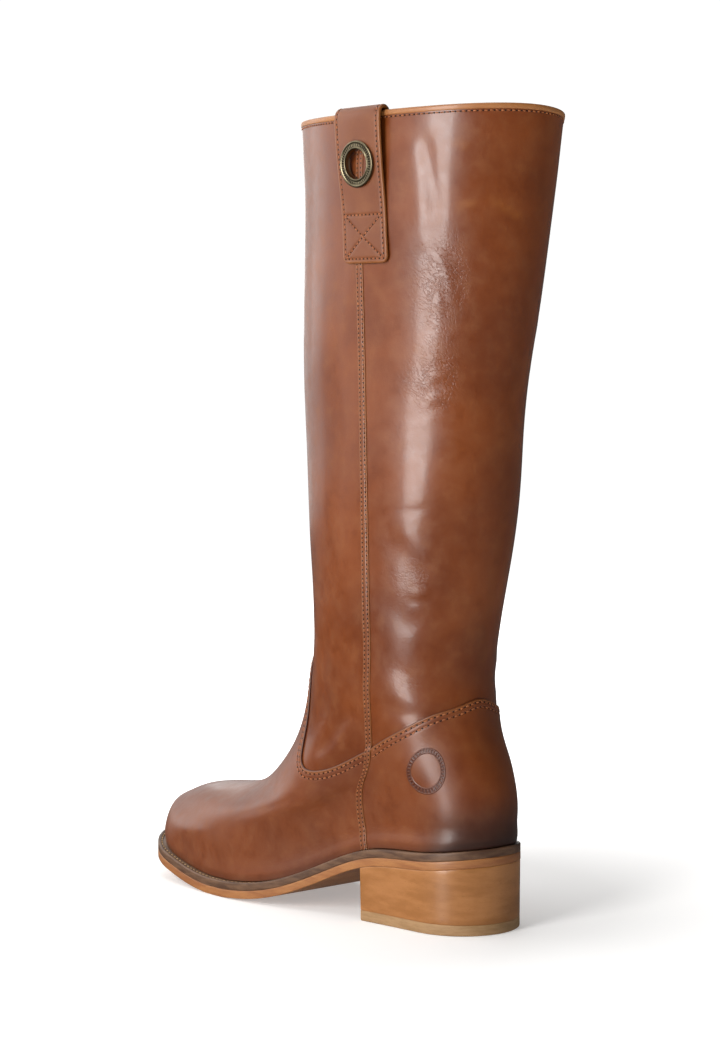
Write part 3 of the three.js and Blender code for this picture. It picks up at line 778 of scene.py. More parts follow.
@dataclass(frozen=True)
class Stitching:
    """Lockstitch sewn in rows: a short fat thread between needle holes, at an even pitch."""

    pitch: float = 2.2
    width: float = 0.8
    height: float = 0.5
    fill: float = 0.66
    hole: float = 0.42

    def frames(self, path: np.ndarray, normal: np.ndarray, phase: float) -> tuple[np.ndarray, ...]:
        """Centre, along, across and up of each stitch, evenly spaced along a path.

        Args:
            path: Points of the path, one a row.
            normal: Outward normal at each point.
            phase: Where the first one stands, in pitches.

        Returns:
            Four arrays with one row for each stitch.
        """
        run = np.concatenate([[0.0], np.cumsum(np.linalg.norm(np.diff(path, axis=0), axis=1))])
        count = max(int(run[-1] / self.pitch), 1)
        at = (np.arange(count) + phase) * run[-1] / count
        at = at[at <= run[-1]]
        centre = np.stack([np.interp(at, run, path[:, k]) for k in range(3)], -1)
        up = unit(np.stack([np.interp(at, run, normal[:, k]) for k in range(3)], -1))
        ahead = np.stack([np.interp(at + 0.4, run, path[:, k]) for k in range(3)], -1)
        behind = np.stack([np.interp(at - 0.4, run, path[:, k]) for k in range(3)], -1)
        along = unit(ahead - behind)
        across = unit(np.cross(up, along))
        return centre, along, across, np.cross(along, across)

    def copies(self, bit: np.ndarray, quads: np.ndarray, tris: np.ndarray, at: tuple) -> Surface:
        """A small solid repeated at every frame, its x along, y across and z up.

        Args:
            bit: Points of the small solid.
            quads: Its four-sided faces.
            tris: Its three-sided faces.
            at: Centres and axes, as frames gives them.

        Returns:
            One surface of all the copies.
        """
        centre, along, across, up = at
        axes = np.stack([along, across, up], 1)
        points = centre[:, None, :] + np.einsum("vk,mkd->mvd", bit, axes)
        start = (np.arange(len(centre)) * len(bit))[:, None, None]
        faces = (quads[None] + start).reshape(-1, 4), (tris[None] + start).reshape(-1, 3)
        return Surface(points.reshape(-1, 3), *faces).turned_out()

    def threads(self, path: np.ndarray, normal: np.ndarray) -> Surface:
        """The row's threads: three six-sided rings between two points, fat in the middle.

        Args:
            path: Points of the row.
            normal: Outward normals there.

        Returns:
            One surface for the row.
        """
        turn = TURN * np.arange(6) / 6.0
        reach = np.array([-0.34, 0.0, 0.34])
        fat = np.array([0.82, 1.0, 0.82])
        length = self.pitch * self.fill
        ring = np.stack(
            [
                np.repeat(reach * length, 6),
                np.outer(fat, np.cos(turn)).ravel() * self.width / 2.0,
                np.outer(fat, np.sin(turn)).ravel() * self.height / 2.0 + self.height * 0.22,
            ],
            -1,
        )
        tips = np.array([[-length / 2.0, 0.0, -0.1], [length / 2.0, 0.0, -0.1]])
        bit = np.concatenate([ring, tips])
        side, after = np.arange(6), (np.arange(6) + 1) % 6
        quads = np.concatenate(
            [np.stack([n + side, n + after, n + 6 + after, n + 6 + side], -1) for n in (0, 6)]
        )
        low = np.stack([np.full(6, 18), after, side], -1)
        high = np.stack([np.full(6, 19), 12 + side, 12 + after], -1)
        return self.copies(bit, quads, np.concatenate([low, high]), self.frames(path, normal, 0.5))

    def hole_shade_lenses(self, path: np.ndarray, normal: np.ndarray) -> Surface:
        """The row's needle holes as painted shade: small dark pits, each a low six-sided lens in the leather.

        Args:
            path: Points of the row.
            normal: Outward normals there.

        Returns:
            One surface for the row.
        """
        turn = TURN * np.arange(6) / 6.0
        rim = np.stack([np.cos(turn) * self.hole, np.sin(turn) * self.hole, np.full(6, 0.1)], -1)
        bit = np.concatenate([rim, [[0.0, 0.0, 0.16], [0.0, 0.0, -0.2]]])
        side, after = np.arange(6), (np.arange(6) + 1) % 6
        top = np.stack([np.full(6, 6), side, after], -1)
        low = np.stack([np.full(6, 7), after, side], -1)
        none = np.zeros((0, 4), int)
        return self.copies(bit, none, np.concatenate([top, low]), self.frames(path, normal, 0.0))


@dataclass
class SeamBook:
    """Every row sewn on the boot, kept so that threads and the painted shade of their holes are each one
    piece a group.
    """

    rows: dict[str, list[tuple[Stitching, np.ndarray, np.ndarray]]] = field(default_factory=dict)

    def sew(self, group: str, stitching: Stitching, path: np.ndarray, normal: np.ndarray) -> None:
        """Adds a row to a group."""
        self.rows.setdefault(group, []).append((stitching, path, normal))

    def make(self, finishes: "Finishes", slots: dict[str, Slot]) -> None:
        """Makes the threads and the painted shade of the holes of every group.

        Args:
            finishes: Finishes of the threads and of the holes' painted shade.
            slots: Slot for each group.
        """
        for group, rows in self.rows.items():
            threads = joined([s.threads(path, normal) for s, path, normal in rows])
            hole_shade_lenses = joined([s.hole_shade_lenses(path, normal) for s, path, normal in rows])
            thread = finishes.cord if slots[group] is Slot.WELT else finishes.thread
            make_piece(f"{group}_thread", threads, thread)
            # each hole is a dark lens of painted shade
            make_piece(f"{group}_needle_hole_shade", hole_shade_lenses, finishes.hole_shade_finish)


# ---------- finishes


def linear(hex_colour: str) -> tuple[float, float, float, float]:
    """An sRGB hex colour as linear red, green, blue and alpha.

    Args:
        hex_colour: The colour, such as "#aa7744".

    Returns:
        Its four values.
    """
    parts = [int(hex_colour[i : i + 2], 16) / 255.0 for i in (1, 3, 5)]
    flat = [c / 12.92 if c <= 0.04045 else ((c + 0.055) / 1.055) ** 2.4 for c in parts]
    return (flat[0], flat[1], flat[2], 1.0)


def add_node(
    tree: bpy.types.NodeTree,
    kind: str,
    settings: Optional[dict] = None,
    inputs: Optional[dict] = None,
) -> bpy.types.Node:
    """Adds a node with its settings; an input that is a socket is linked, any other is set.

    Args:
        tree: The material's node tree.
        kind: Type of the node, without its usual ShaderNode prefix.
        settings: Properties of the node.
        inputs: Values or sockets by input name or number.

    Returns:
        The node.
    """
    node = tree.nodes.new("ShaderNode" + kind)
    for name, value in (settings or {}).items():
        setattr(node, name, value)
    for name, value in (inputs or {}).items():
        if isinstance(value, Socket):
            tree.links.new(value, node.inputs[name])
        else:
            node.inputs[name].default_value = value
    return node


def new_material(name: str, **shader: float) -> tuple[Material, bpy.types.NodeTree, bpy.types.Node]:
    """A material with one Principled shader and its constant sockets set.

    Args:
        name: Name of the material.
        shader: Socket values, with underscores for the spaces in their names.

    Returns:
        The material, its node tree and its shader.
    """
    material = bpy.data.materials.new(name)
    material.use_nodes = True
    tree = material.node_tree
    tree.nodes.clear()
    inputs = {key.replace("_", " "): value for key, value in shader.items()}
    node = add_node(tree, "BsdfPrincipled", None, inputs)
    add_node(tree, "OutputMaterial", None, {"Surface": node.outputs["BSDF"]})
    return material, tree, node


# Inputs and output of a Mix node set to colours.
MIX_SHARE, MIX_FIRST, MIX_SECOND, MIX_RESULT = 0, 6, 7, 2


@dataclass(frozen=True)
class PullUpLeather:
    """Waxed pull-up cowhide, drum dyed and hand oiled.

    To the eye: a cognac ground that runs lighter where the hide is stretched and darker low on the
    heel and toe, with painted shade along the welt, a close pore, fine hair creases where it has bent,
    and a soft waxy sheen.
    """

    name: str = "Pull-up cowhide, oiled and burnished"
    deep: str = "#4f1f07"
    ground: str = "#6f350c"
    pale: str = "#86501d"
    # colour of the darkening low on the heel and at the toe, which also paints the shade along the welt
    low_dark_and_shade: str = "#2a1712"
    cut: str = "#451c0c"
    roughness: float = 0.33
    coat: float = 0.25
    coat_roughness: float = 0.14
    hide_mm: float = 60.0  # size of the clouds of tone across the hide
    mottle_mm: float = 9.0  # size of the oil's mottling
    crease_mm: float = 2.6  # spacing of the fine creases
    pore_mm: float = 0.9  # spacing of the pores, drawn about twice their real size to show

    def build(self) -> Material:
        """Makes the material; it reads from the piece's points wear, cut, wrinkle and a darkening that is low
        on the heel, a little at the toe and painted shade along the welt.

        Returns:
            The material.
        """
        material, tree, shader = new_material(
            self.name, IOR=1.5, Coat_Weight=self.coat, Coat_Roughness=self.coat_roughness
        )
        place = add_node(tree, "TexCoord").outputs["Object"]

        def noise(size_mm: float, detail: float, rough: float, vector: Socket = place) -> Socket:
            """Noise with features of a size in millimetres."""
            inputs = {"Vector": vector, "Scale": 1.0 / (size_mm * MM), "Detail": detail, "Roughness": rough}
            return add_node(tree, "TexNoise", None, inputs).outputs[0]

        def ramp(value: Socket, low: float, high: float, to: float = 1.0, start: float = 0.0) -> Socket:
            """The value's range from low to high, as start to `to`, smoothly."""
            inputs = {"Value": value, 1: low, 2: high, 3: start, 4: to}
            return add_node(tree, "MapRange", {"interpolation_type": "SMOOTHSTEP"}, inputs).outputs[0]

        def mix(share: Socket, first: object, second: object) -> Socket:
            """Second colour over the first by a share."""
            inputs = {MIX_SHARE: share, MIX_FIRST: first, MIX_SECOND: second}
            return add_node(tree, "Mix", {"data_type": "RGBA"}, inputs).outputs[MIX_RESULT]

        hide = noise(self.hide_mm, 3.0, 0.55)
        mottle = noise(self.mottle_mm, 5.0, 0.62)
        speck = noise(1.6, 4.0, 0.6)
        wear, burnish, cut, wrinkle = (
            add_node(tree, "Attribute", {"attribute_name": key}).outputs["Fac"]
            for key in ("wear", "burnish", "cut", "wrinkle")
        )
        colour = mix(ramp(hide, 0.3, 0.7, 1.0, 0.4), linear(self.deep), linear(self.ground))
        colour = mix(ramp(mottle, 0.45, 0.75, 0.2), colour, linear(self.pale))
        colour = mix(ramp(mottle, 0.48, 0.28, 0.3), colour, linear(self.deep))
        colour = mix(ramp(speck, 0.55, 0.8, 0.12), colour, linear(self.cut))
        # darker low on the heel and a little at the toe, and painted shade along the welt
        colour = mix(burnish, colour, linear(self.low_dark_and_shade))
        colour = mix(wear, colour, linear(self.pale))
        colour = mix(cut, colour, linear(self.cut))
        tree.links.new(colour, shader.inputs["Base Color"])
        rough = ramp(mottle, 0.3, 0.7, self.roughness + 0.07, self.roughness - 0.05)
        tree.links.new(rough, shader.inputs["Roughness"])

        longer = add_node(tree, "Mapping", None, {"Vector": place, "Scale": (1.0, 1.0, 2.2)}).outputs[0]
        fine = noise(self.crease_mm, 6.0, 0.62, longer)
        pores = add_node(
            tree,
            "TexVoronoi",
            {"feature": "F1"},
            {"Vector": place, "Scale": 1.0 / (self.pore_mm * MM), "Randomness": 1.0},
        ).outputs["Distance"]
        # creases run down and back: the hide is turned so that they lie along one axis, then stretched
        lean = (math.radians(38.0), 0.0, 0.0)
        turned = add_node(tree, "Mapping", None, {"Vector": place, "Rotation": lean}).outputs[0]
        drawn = add_node(tree, "Mapping", None, {"Vector": turned, "Scale": (1.0, 0.3, 1.0)}).outputs[0]
        line = noise(2.7, 3.0, 0.6, drawn)
        away = add_node(tree, "Math", {"operation": "SUBTRACT"}, {0: line, 1: 0.5}).outputs[0]
        away = add_node(tree, "Math", {"operation": "ABSOLUTE"}, {0: away}).outputs[0]
        strength = ramp(wrinkle, 0.05, 0.9, 0.55, 0.0)
        bump = add_node(tree, "Bump", None, {"Strength": 0.12, "Distance": 0.08 * MM, "Height": pores})
        grain = {"Strength": 0.16, "Distance": 0.25 * MM, "Height": fine, "Normal": bump.outputs[0]}
        bump = add_node(tree, "Bump", None, grain)
        hair = {"Strength": strength, "Distance": 0.24 * MM, "Height": ramp(away, 0.0, 0.07)}
        hair["Normal"] = bump.outputs[0]
        bump = add_node(tree, "Bump", None, hair)
        tree.links.new(bump.outputs[0], shader.inputs["Normal"])
        return material


@dataclass(frozen=True)
class PlainFinish:
    """A simple finish: two tones in soft clouds, grain lines along one axis, and a fine bump."""

    name: str
    first: str
    second: str
    roughness: float
    cloud_mm: float
    stretch: tuple[float, float, float] = (1.0, 1.0, 1.0)
    low: float = 0.35
    high: float = 0.65
    fine_mm: float = 1.0
    bump_mm: float = 0.1
    bump: float = 0.3
    metallic: float = 0.0
    coat: float = 0.0
    detail: float = 5.0
    flecks: str = ""

    def build(self) -> Material:
        """Makes the material.

        Returns:
            The material.
        """
        fixed = {"Metallic": self.metallic, "Coat_Weight": self.coat, "Coat_Roughness": 0.25}
        if not self.metallic:
            fixed["IOR"] = 1.5
        material, tree, shader = new_material(self.name, **fixed)
        place = add_node(tree, "TexCoord").outputs["Object"]
        stretched = add_node(tree, "Mapping", None, {"Vector": place, "Scale": self.stretch}).outputs[0]
        cloud = add_node(
            tree,
            "TexNoise",
            None,
            {
                "Vector": stretched,
                "Scale": 1.0 / (self.cloud_mm * MM),
                "Detail": self.detail,
                "Roughness": 0.6,
            },
        ).outputs[0]
        fine = add_node(
            tree,
            "TexNoise",
            None,
            {"Vector": stretched, "Scale": 1.0 / (self.fine_mm * MM), "Detail": 3.0, "Roughness": 0.6},
        ).outputs[0]
        smoothstep = {"interpolation_type": "SMOOTHSTEP"}
        share = add_node(tree, "MapRange", smoothstep, {"Value": cloud, 1: self.low, 2: self.high}).outputs[0]
        colours = {MIX_SHARE: share, MIX_FIRST: linear(self.first), MIX_SECOND: linear(self.second)}
        colour = add_node(tree, "Mix", {"data_type": "RGBA"}, colours).outputs[MIX_RESULT]
        if self.flecks:
            dense = {"Value": fine, 1: 0.56, 2: 0.78, 4: 0.7}
            spot = add_node(tree, "MapRange", smoothstep, dense).outputs[0]
            over = {MIX_SHARE: spot, MIX_FIRST: colour, MIX_SECOND: linear(self.flecks)}
            colour = add_node(tree, "Mix", {"data_type": "RGBA"}, over).outputs[MIX_RESULT]
        tree.links.new(colour, shader.inputs["Base Color"])
        ends = {"Value": fine, 1: 0.3, 2: 0.7, 3: self.roughness - 0.06, 4: self.roughness + 0.06}
        rough = add_node(tree, "MapRange", None, ends).outputs[0]
        tree.links.new(rough, shader.inputs["Roughness"])
        depth = {"Strength": self.bump, "Distance": self.bump_mm * MM, "Height": fine}
        bump = add_node(tree, "Bump", None, depth)
        tree.links.new(bump.outputs[0], shader.inputs["Normal"])
        return material


@dataclass(frozen=True)
class AntiqueBrass:
    """Brass plated, oxidised brown and tumbled: dark in its recesses, rubbed paler on its crests."""

    name: str = "Antique brass, oxidised and tumbled"
    crest: str = "#8b8168"
    field_tone: str = "#665c49"
    recess: str = "#2e2820"
    roughness: float = 0.3

    def build(self) -> Material:
        """Makes the material; it reads recess from the ring's points.

        Returns:
            The material.
        """
        material, tree, shader = new_material(self.name, Metallic=1.0)
        place = add_node(tree, "TexCoord").outputs["Object"]
        cloud = {"Vector": place, "Scale": 1.0 / (4.0 * MM), "Detail": 4.0, "Roughness": 0.6}
        tone = add_node(tree, "TexNoise", None, cloud).outputs[0]
        share = add_node(tree, "MapRange", None, {"Value": tone, 1: 0.3, 2: 0.7}).outputs[0]
        first = {MIX_SHARE: share, MIX_FIRST: linear(self.field_tone), MIX_SECOND: linear(self.crest)}
        colour = add_node(tree, "Mix", {"data_type": "RGBA"}, first).outputs[MIX_RESULT]
        low = add_node(tree, "Attribute", {"attribute_name": "recess"}).outputs["Fac"]
        second = {MIX_SHARE: low, MIX_FIRST: colour, MIX_SECOND: linear(self.recess)}
        colour = add_node(tree, "Mix", {"data_type": "RGBA"}, second).outputs[MIX_RESULT]
        tree.links.new(colour, shader.inputs["Base Color"])
        worn = {"Value": low, 3: self.roughness, 4: self.roughness + 0.25}
        rough = add_node(tree, "MapRange", None, worn).outputs[0]
        tree.links.new(rough, shader.inputs["Roughness"])
        return material


def made(finish: PullUpLeather | PlainFinish | AntiqueBrass) -> Material:
    """A field that holds the finish's material, made when the boot's finishes are."""
    return field(default_factory=finish.build)


@dataclass
class Finishes:
    """Every finish of the boot, each made once."""

    # shaft leather: waxed, with long soft highlights and cloudy darker patches
    upper: Material = made(PullUpLeather())
    # vamp and counter: the same hide rubbed over the last, so its highlights are broad and dull
    overlay: Material = made(PullUpLeather(
        name="Pull-up cowhide, lasted and brushed", roughness=0.43, coat=0.2, coat_roughness=0.26
    ))
    # strap: a flatter, redder cut of the hide, duller than the shaft
    strap: Material = made(PullUpLeather(
        name="Strap cowhide, oiled", deep="#5a280c", ground="#6f3a14", pale="#885426", roughness=0.42
    ))
    # top edge: handled and rubbed, so it shows as a pale tan line
    edge: Material = made(PullUpLeather(
        name="Turned edge of cowhide, rubbed pale", deep="#83502c", ground="#95602f", pale="#a87444",
        roughness=0.45,
    ))
    # vegetable-tanned pigskin, sueded: a dry, pale tan with a fine nap
    lining: Material = made(PlainFinish(
        "Vegetable-tanned lining leather, undyed", "#a8794e", "#c39a6b", 0.72, 16.0,
        fine_mm=0.9, bump=0.35,
    ))
    # insole board: smooth, matt and pale, with a few brown flecks
    insole: Material = made(PlainFinish(
        "Insole leather, undyed", "#b58657", "#c9a171", 0.66, 22.0,
        fine_mm=1.0, bump=0.3, flecks="#8f6540",
    ))
    # waxed polyester thread: a tight orange-tan strand with a slight shine
    thread: Material = made(PlainFinish(
        "Waxed sewing thread, twisted", "#7a3f1c", "#98592e", 0.5, 1.4,
        fine_mm=0.3, bump_mm=0.12, bump=0.5,
    ))
    # linen thread of the welt: pale and thicker, a little dirty
    cord: Material = made(PlainFinish(
        "Waxed linen cord, lockstitched", "#8a6a48", "#b8966c", 0.6, 1.8,
        fine_mm=0.35, bump_mm=0.12, bump=0.5,
    ))
    # needle hole: painted shade, an almost black dot at each end of a stitch where the hole lies in shade
    hole_shade_finish: Material = made(PlainFinish(
        "Needle hole, painted shade", "#170a05", "#241007", 0.85, 1.0, fine_mm=0.4, bump_mm=0.05
    ))
    # eyelet: dull brown-gold metal, dark in its recesses
    brass: Material = made(AntiqueBrass())
    # welt leather stained with edge ink, its layers seen as lines along the edge
    welt: Material = made(PlainFinish(
        "Welt leather, ink stained", "#4a3020", "#674a34", 0.5, 9.0, (0.6, 0.6, 3.0), fine_mm=0.9,
        bump_mm=0.1, bump=0.3, flecks="#33231a",
    ))
    # sole edge: warm brown with thin lines along it, smoothed by wax
    sole: Material = made(PlainFinish(
        "Vegetable-tanned sole bend, waxed edge", "#86522b", "#9c683a", 0.45, 14.0, (0.5, 0.5, 4.0),
        fine_mm=0.8, bump_mm=0.1, bump=0.35, coat=0.1, flecks="#6a3f1e",
    ))
    # turned birch block, stained and waxed: fine short grain along the boot and a soft shine
    heel: Material = made(PlainFinish(
        "Birch block, stained and waxed", "#8d5b2c", "#9f6a3b", 0.36, 14.0, (0.5, 0.5, 2.0), fine_mm=0.8,
        bump_mm=0.06, bump=0.25, coat=0.35, flecks="#7c4e25",
    ))
    # top lift: matt tan rubber, greyer than the block over it
    lift: Material = made(PlainFinish(
        "Crepe rubber, moulded", "#8d6c46", "#9c7a54", 0.62, 6.0, (0.6, 0.6, 3.0),
        fine_mm=0.6, bump_mm=0.08,
    ))


# ---------- the upper


def closed_wall(outer: np.ndarray, inner: np.ndarray) -> np.ndarray:
    """Sections of a wall: up its outer sheet and down its inner one, as one closed grid."""
    return np.concatenate([outer, inner[::-1]], axis=0)


@dataclass(frozen=True)
class EdgeLine:
    """The cut upper edge of an overlay, as seen from the side.

    Attributes:
        seam: Place where the edge starts, at the side seam.
        places: Further places (forward, height) along it.
    """

    seam: tuple[float, float]
    places: tuple[tuple[float, float], ...]


@dataclass
class Upper:
    """Shaft with its lining, side seams, turned top edge, vamp, heel counter and its stamp."""

    finishes: Finishes
    seams: SeamBook
    wall: float = 2.2
    leather: float = 1.2
    overlay_low: float = 0.1
    overlay_high: float = 1.25
    seam_foot: float = 73.2
    seam_joint: tuple[float, float] = (64.4, 89.2)
    seam_places: tuple[tuple[float, float], ...] = (
        (61.8, 118.0),
        (59.5, 146.0),
        (58.3, 170.0),
        (57.3, 206.0),
        (57.0, 240.0),
        (57.0, 270.0),
        (55.9, 335.0),
        (54.0, 370.0),
        (52.2, 405.0),
    )
    strip_half: float = 2.6
    strip_rise: float = 0.75
    strip_rows: tuple[float, float] = (-1.3, 1.3)
    edge_rows: tuple[float, float] = (1.7, 4.3)

    def __post_init__(self) -> None:
        """Works out the side seam: its angle as a spline over the loops."""
        angle, loop = SKIN.find(*np.array((self.seam_joint,) + self.seam_places).T)
        foot = float(SKIN.angle_at(np.array(self.seam_foot), np.array(0.0)))
        self.joint_loop = float(loop[0])
        self.foot_angle = foot
        self.joint_angle = float(angle[0])
        half = (foot + self.joint_angle) / 2.0
        at = np.concatenate([[0.0, self.joint_loop / 2.0], loop, [SKIN.top]])
        value = np.concatenate([[foot, half], angle, [angle[-1]]])
        self.seam_angle = Curve(at, value)
        counter = ((58.7, 92.4), (44.7, 99.6), (34.2, 105.6), (26.4, 110.1), (20.8, 113.2))
        vamp = (
            (73.4, 85.2),
            (87.5, 78.8),
            (101.0, 75.2),
            (110.0, 75.4),
            (115.4, 79.0),
            (117.6, 87.0),
            (117.4, 98.0),
            (117.8, 110.0),
            (119.8, 122.0),
            (123.4, 132.0),
        )
        self.counter_edge = EdgeLine(self.seam_joint, counter)
        self.vamp_edge = EdgeLine(self.seam_joint, vamp)
        self.counter_crown = 116.6
        self.vamp_crown = 142.6

    def edge_of(self, line: EdgeLine, crown: float, front: bool) -> Curve:
        """Loop of an edge over the angle, as a spline that is level where it meets the middle line.

        Args:
            line: The edge on the lateral side.
            crown: Its height at the middle line.
            front: The middle line is the front ridge, not the back line.

        Returns:
            Curve of loop over angle, from the seam to the middle and its mirror image.
        """
        table = np.array((line.seam,) + line.places)
        angle, loop = SKIN.find(table[:, 0], table[:, 1])
        middle = math.pi if front else 0.0
        levels = np.linspace(0.0, SKIN.top, 2101)
        heights = SKIN.point(np.full(levels.shape, middle), levels)[:, 2]
        top = float(np.interp(crown, heights, levels))
        if not front:
            angle, loop = angle[::-1], loop[::-1]
            at = np.concatenate([-angle[::-1], [0.0], angle])
        else:
            at = np.concatenate([angle, [math.pi], TURN - angle[::-1]])
            loop = loop[::-1]
        value = np.concatenate([loop[::-1], [top], loop])
        return Curve(at, value)

    def build(self) -> None:
        """Makes every piece of the upper."""
        self.build_shaft()
        self.build_top_edge()
        vamp = self.edge_of(self.vamp_edge, self.vamp_crown, True)
        counter = self.edge_of(self.counter_edge, self.counter_crown, False)
        self.build_overlay("vamp_leather", "vamp", vamp, True, 360, 120)
        self.build_overlay("heel_counter_leather", "heel_counter", counter, False, 230, 110)
        self.build_seam("lateral_seam_strip", 1.0)
        self.build_seam("medial_seam_strip", -1.0)
        self.build_stamp()

    def build_shaft(self, columns: int = 256, rows: int = 262, inner_rows: int = 80) -> None:
        """Makes the shaft's leather and the lining inside it.

        The outer sheet is the skin plus the creases, the inner one the skin less the leather's
        thickness; the lining is a second wall inside the first.

        Args:
            columns: Points round the shaft.
            rows: Points up its outer sheet.
            inner_rows: Points up its inner sheet.
        """
        angle = TURN * (np.arange(columns) + 0.5) / columns
        loop = SKIN.top * np.linspace(0.0, 1.0, rows)
        a, v = np.meshgrid(angle, loop)
        height = SKIN.point(a, v)[..., 2]
        under_vamp = self.covered(a, v)
        relief = CREASES.relief(a, height) * (1.0 - under_vamp)
        outer = SKIN.sheet(a, v, relief)
        a_in, v_in = np.meshgrid(angle, SKIN.top * np.linspace(0.0, 1.0, inner_rows))
        inner = SKIN.sheet(a_in, v_in, -self.leather)
        still = np.zeros(inner.shape[:2])
        wrinkle = closed_wall(CREASES.wrinkled(a, height), still)
        zero = np.zeros(1)
        surface = grid(
            closed_wall(outer, inner), True, True, wrinkle=wrinkle,
            wear=self.shaft_wear(a, height, inner_rows), burnish=zero, cut=zero,
        )
        make_piece("shaft_leather", surface, self.finishes.upper, ["upper"])
        around = TURN * (np.arange(144) + 0.5) / 144
        a, v = np.meshgrid(around, SKIN.top * np.linspace(0.0, 1.0, 110))
        wall = closed_wall(SKIN.sheet(a, v, -self.leather - 0.05), SKIN.sheet(a, v, -self.wall))
        make_piece("shaft_lining", grid(wall, True, True), self.finishes.lining)

    def shaft_wear(self, angle: np.ndarray, height: np.ndarray, inner_rows: int) -> np.ndarray:
        """Paler, stretched leather in a few rubbed scratches near the top of the back.

        Args:
            angle: Angle round the boot.
            height: Height over the ground.
            inner_rows: Points up the inner sheet, which has no wear.

        Returns:
            Wear, 0 to 1, on the whole wall.
        """
        around = np.degrees(angle) % 360.0
        marks = (
            Fold((45, 362.0), (39, 363.5), (32, 364.3), -0.4, 1.7),
            Fold((31, 369), (18, 362), (4, 357), -0.3, 1.8),
            Fold((47, 396), (43, 393), (38, 391), -0.3, 2.2),
        )
        wear = sum(mark.relief(around, height, CREASES.per_degree) for mark in marks)
        return closed_wall(np.clip(wear, 0.0, 1.0), np.zeros((inner_rows, angle.shape[1])))

    def covered(self, angle: np.ndarray, loop: np.ndarray) -> np.ndarray:
        """1 where an overlay covers the skin, fading to 0 over the loops above its edge.

        Args:
            angle: Angle round the boot.
            loop: Place up the loops.

        Returns:
            The share at each point.
        """
        around = angle % TURN
        vamp = self.edge_of(self.vamp_edge, self.vamp_crown, True)
        counter = self.edge_of(self.counter_edge, self.counter_crown, False)
        near_back = np.where(around > math.pi, around - TURN, around)
        front = (around > self.joint_angle) & (around < TURN - self.joint_angle)
        edge = np.where(front, vamp(around), counter(near_back))
        return 1.0 - smooth(loop, edge + 0.05, edge + 0.8)

    def build_top_edge(self, columns: int = 360) -> None:
        """Makes the turned edge round the top line and sews it down.

        Its section is a U over the wall's end, as (out, up) from the outer face at the top line.

        Args:
            columns: Points round the top line.
        """
        section = np.array(
            [
                (0.05, -2.1), (0.36, -2.0), (0.48, -1.7), (0.5, -0.6), (0.4, 0.2), (0.05, 0.6), (-0.5, 0.82),
                (-1.2, 0.86), (-1.8, 0.66), (-2.2, 0.25), (-2.42, -0.4), (-2.48, -2.0), (-2.46, -6.0),
                (-2.42, -9.6), (-2.25, -10.0), (-1.6, -9.4), (-1.2, -5.0), (-1.0, -2.6), (-0.5, -2.1),
            ]
        )
        angle = TURN * (np.arange(columns) + 0.5) / columns
        level = SKIN.normal(angle, np.full(angle.shape, float(SKIN.top)))
        edge = SKIN.point(angle, np.full(angle.shape, float(SKIN.top)))
        lean = SKIN.point(angle, np.full(angle.shape, SKIN.top - 0.25))
        down = (edge - lean) / (edge - lean)[:, 2:3]
        out, up = section[:, 0][:, None, None], section[:, 1][:, None, None]
        ripple = 0.05 * np.sin(11.0 * angle)[None, :, None]
        points = edge + (out + ripple) * level + up * np.where(up < 0.0, down, [0.0, 0.0, 1.0])
        zero = np.zeros(1)
        surface = grid(points, True, True, wear=zero, burnish=zero, cut=zero, wrinkle=zero)
        make_piece("top_edge_binding", surface, self.finishes.edge)
        row = np.linspace(0.0, TURN, 721)
        below, proud = 3.0, 0.02  # the row runs this far under the top line, on the leather's face
        top = SKIN.point(row, np.full(row.shape, float(SKIN.top)))
        lower = SKIN.point(row, np.full(row.shape, SKIN.top - 0.25))
        slope = (top - lower) / (top - lower)[:, 2:3]
        normal = SKIN.normal(row, np.full(row.shape, float(SKIN.top)))
        path = top - below * slope + proud * normal
        self.seams.sew("upper_seam", Stitching(pitch=2.75, hole=0.48), path, normal)

    def build_overlay(
        self, name: str, node: str, edge: Curve, front: bool, columns: int, rows: int
    ) -> None:
        """Makes the vamp or the counter: leather laid on the skin from the welt to a cut edge.

        Columns run up from the feather line at nearly one angle; rows crowd towards the edge. The
        outer sheet rounds off over the last half millimetre and dips under its two stitch rows.

        Args:
            name: Name of the piece.
            node: CAD node that it stands for.
            edge: Loop of the cut edge over the angle.
            front: The vamp, over the toe, and not the counter, round the back.
            columns: Points along the piece.
            rows: Points up it.
        """
        middle = math.pi if front else 0.0
        u = np.linspace(-1.0, 1.0, columns)
        if front:
            foot = middle + u * (math.pi - self.foot_angle)
            head = middle + u * (math.pi - self.joint_angle)
        else:
            foot = middle + u * self.foot_angle
            head = middle + u * self.joint_angle
        top = edge(head)
        t = np.linspace(0.0, 1.0, rows)[:, None]
        crowd = np.clip(t + 0.25 * np.sin(math.pi * t) / math.pi, 0.0, 1.0)
        crowd[-1] = 1.0
        angle = foot + (head - foot) * crowd
        loop = top * crowd
        points = SKIN.point(angle, loop)
        line = SKIN.point(head, top)
        fine = np.linspace(0.0, columns - 1.0, 4 * columns)
        line = np.stack([np.interp(fine, np.arange(columns), line[:, k]) for k in range(3)], -1)
        inset, _ = nearest(points, line)
        thick = self.overlay_high - self.overlay_low
        rounding, blunt = 0.6, 0.35  # the edge rounds off over this width, from this share of its thickness
        share = np.clip(1.0 - inset / rounding, 0.0, 1.0)
        out = self.overlay_low + thick * (blunt + (1.0 - blunt) * np.sqrt(np.clip(1.0 - share**2, 0.0, 1.0)))
        for row in self.edge_rows:
            out = out - 0.16 * bell(inset - row, 0.6)
        height = points[..., 2]
        out = out + self.overlay_relief(angle, height, inset)
        outer = SKIN.sheet(angle, loop, out)
        low = np.linspace(0.0, 1.0, 30)[:, None]
        angle_in, loop_in = foot + (head - foot) * low, top * low
        inner = SKIN.sheet(angle_in, loop_in, self.overlay_low)
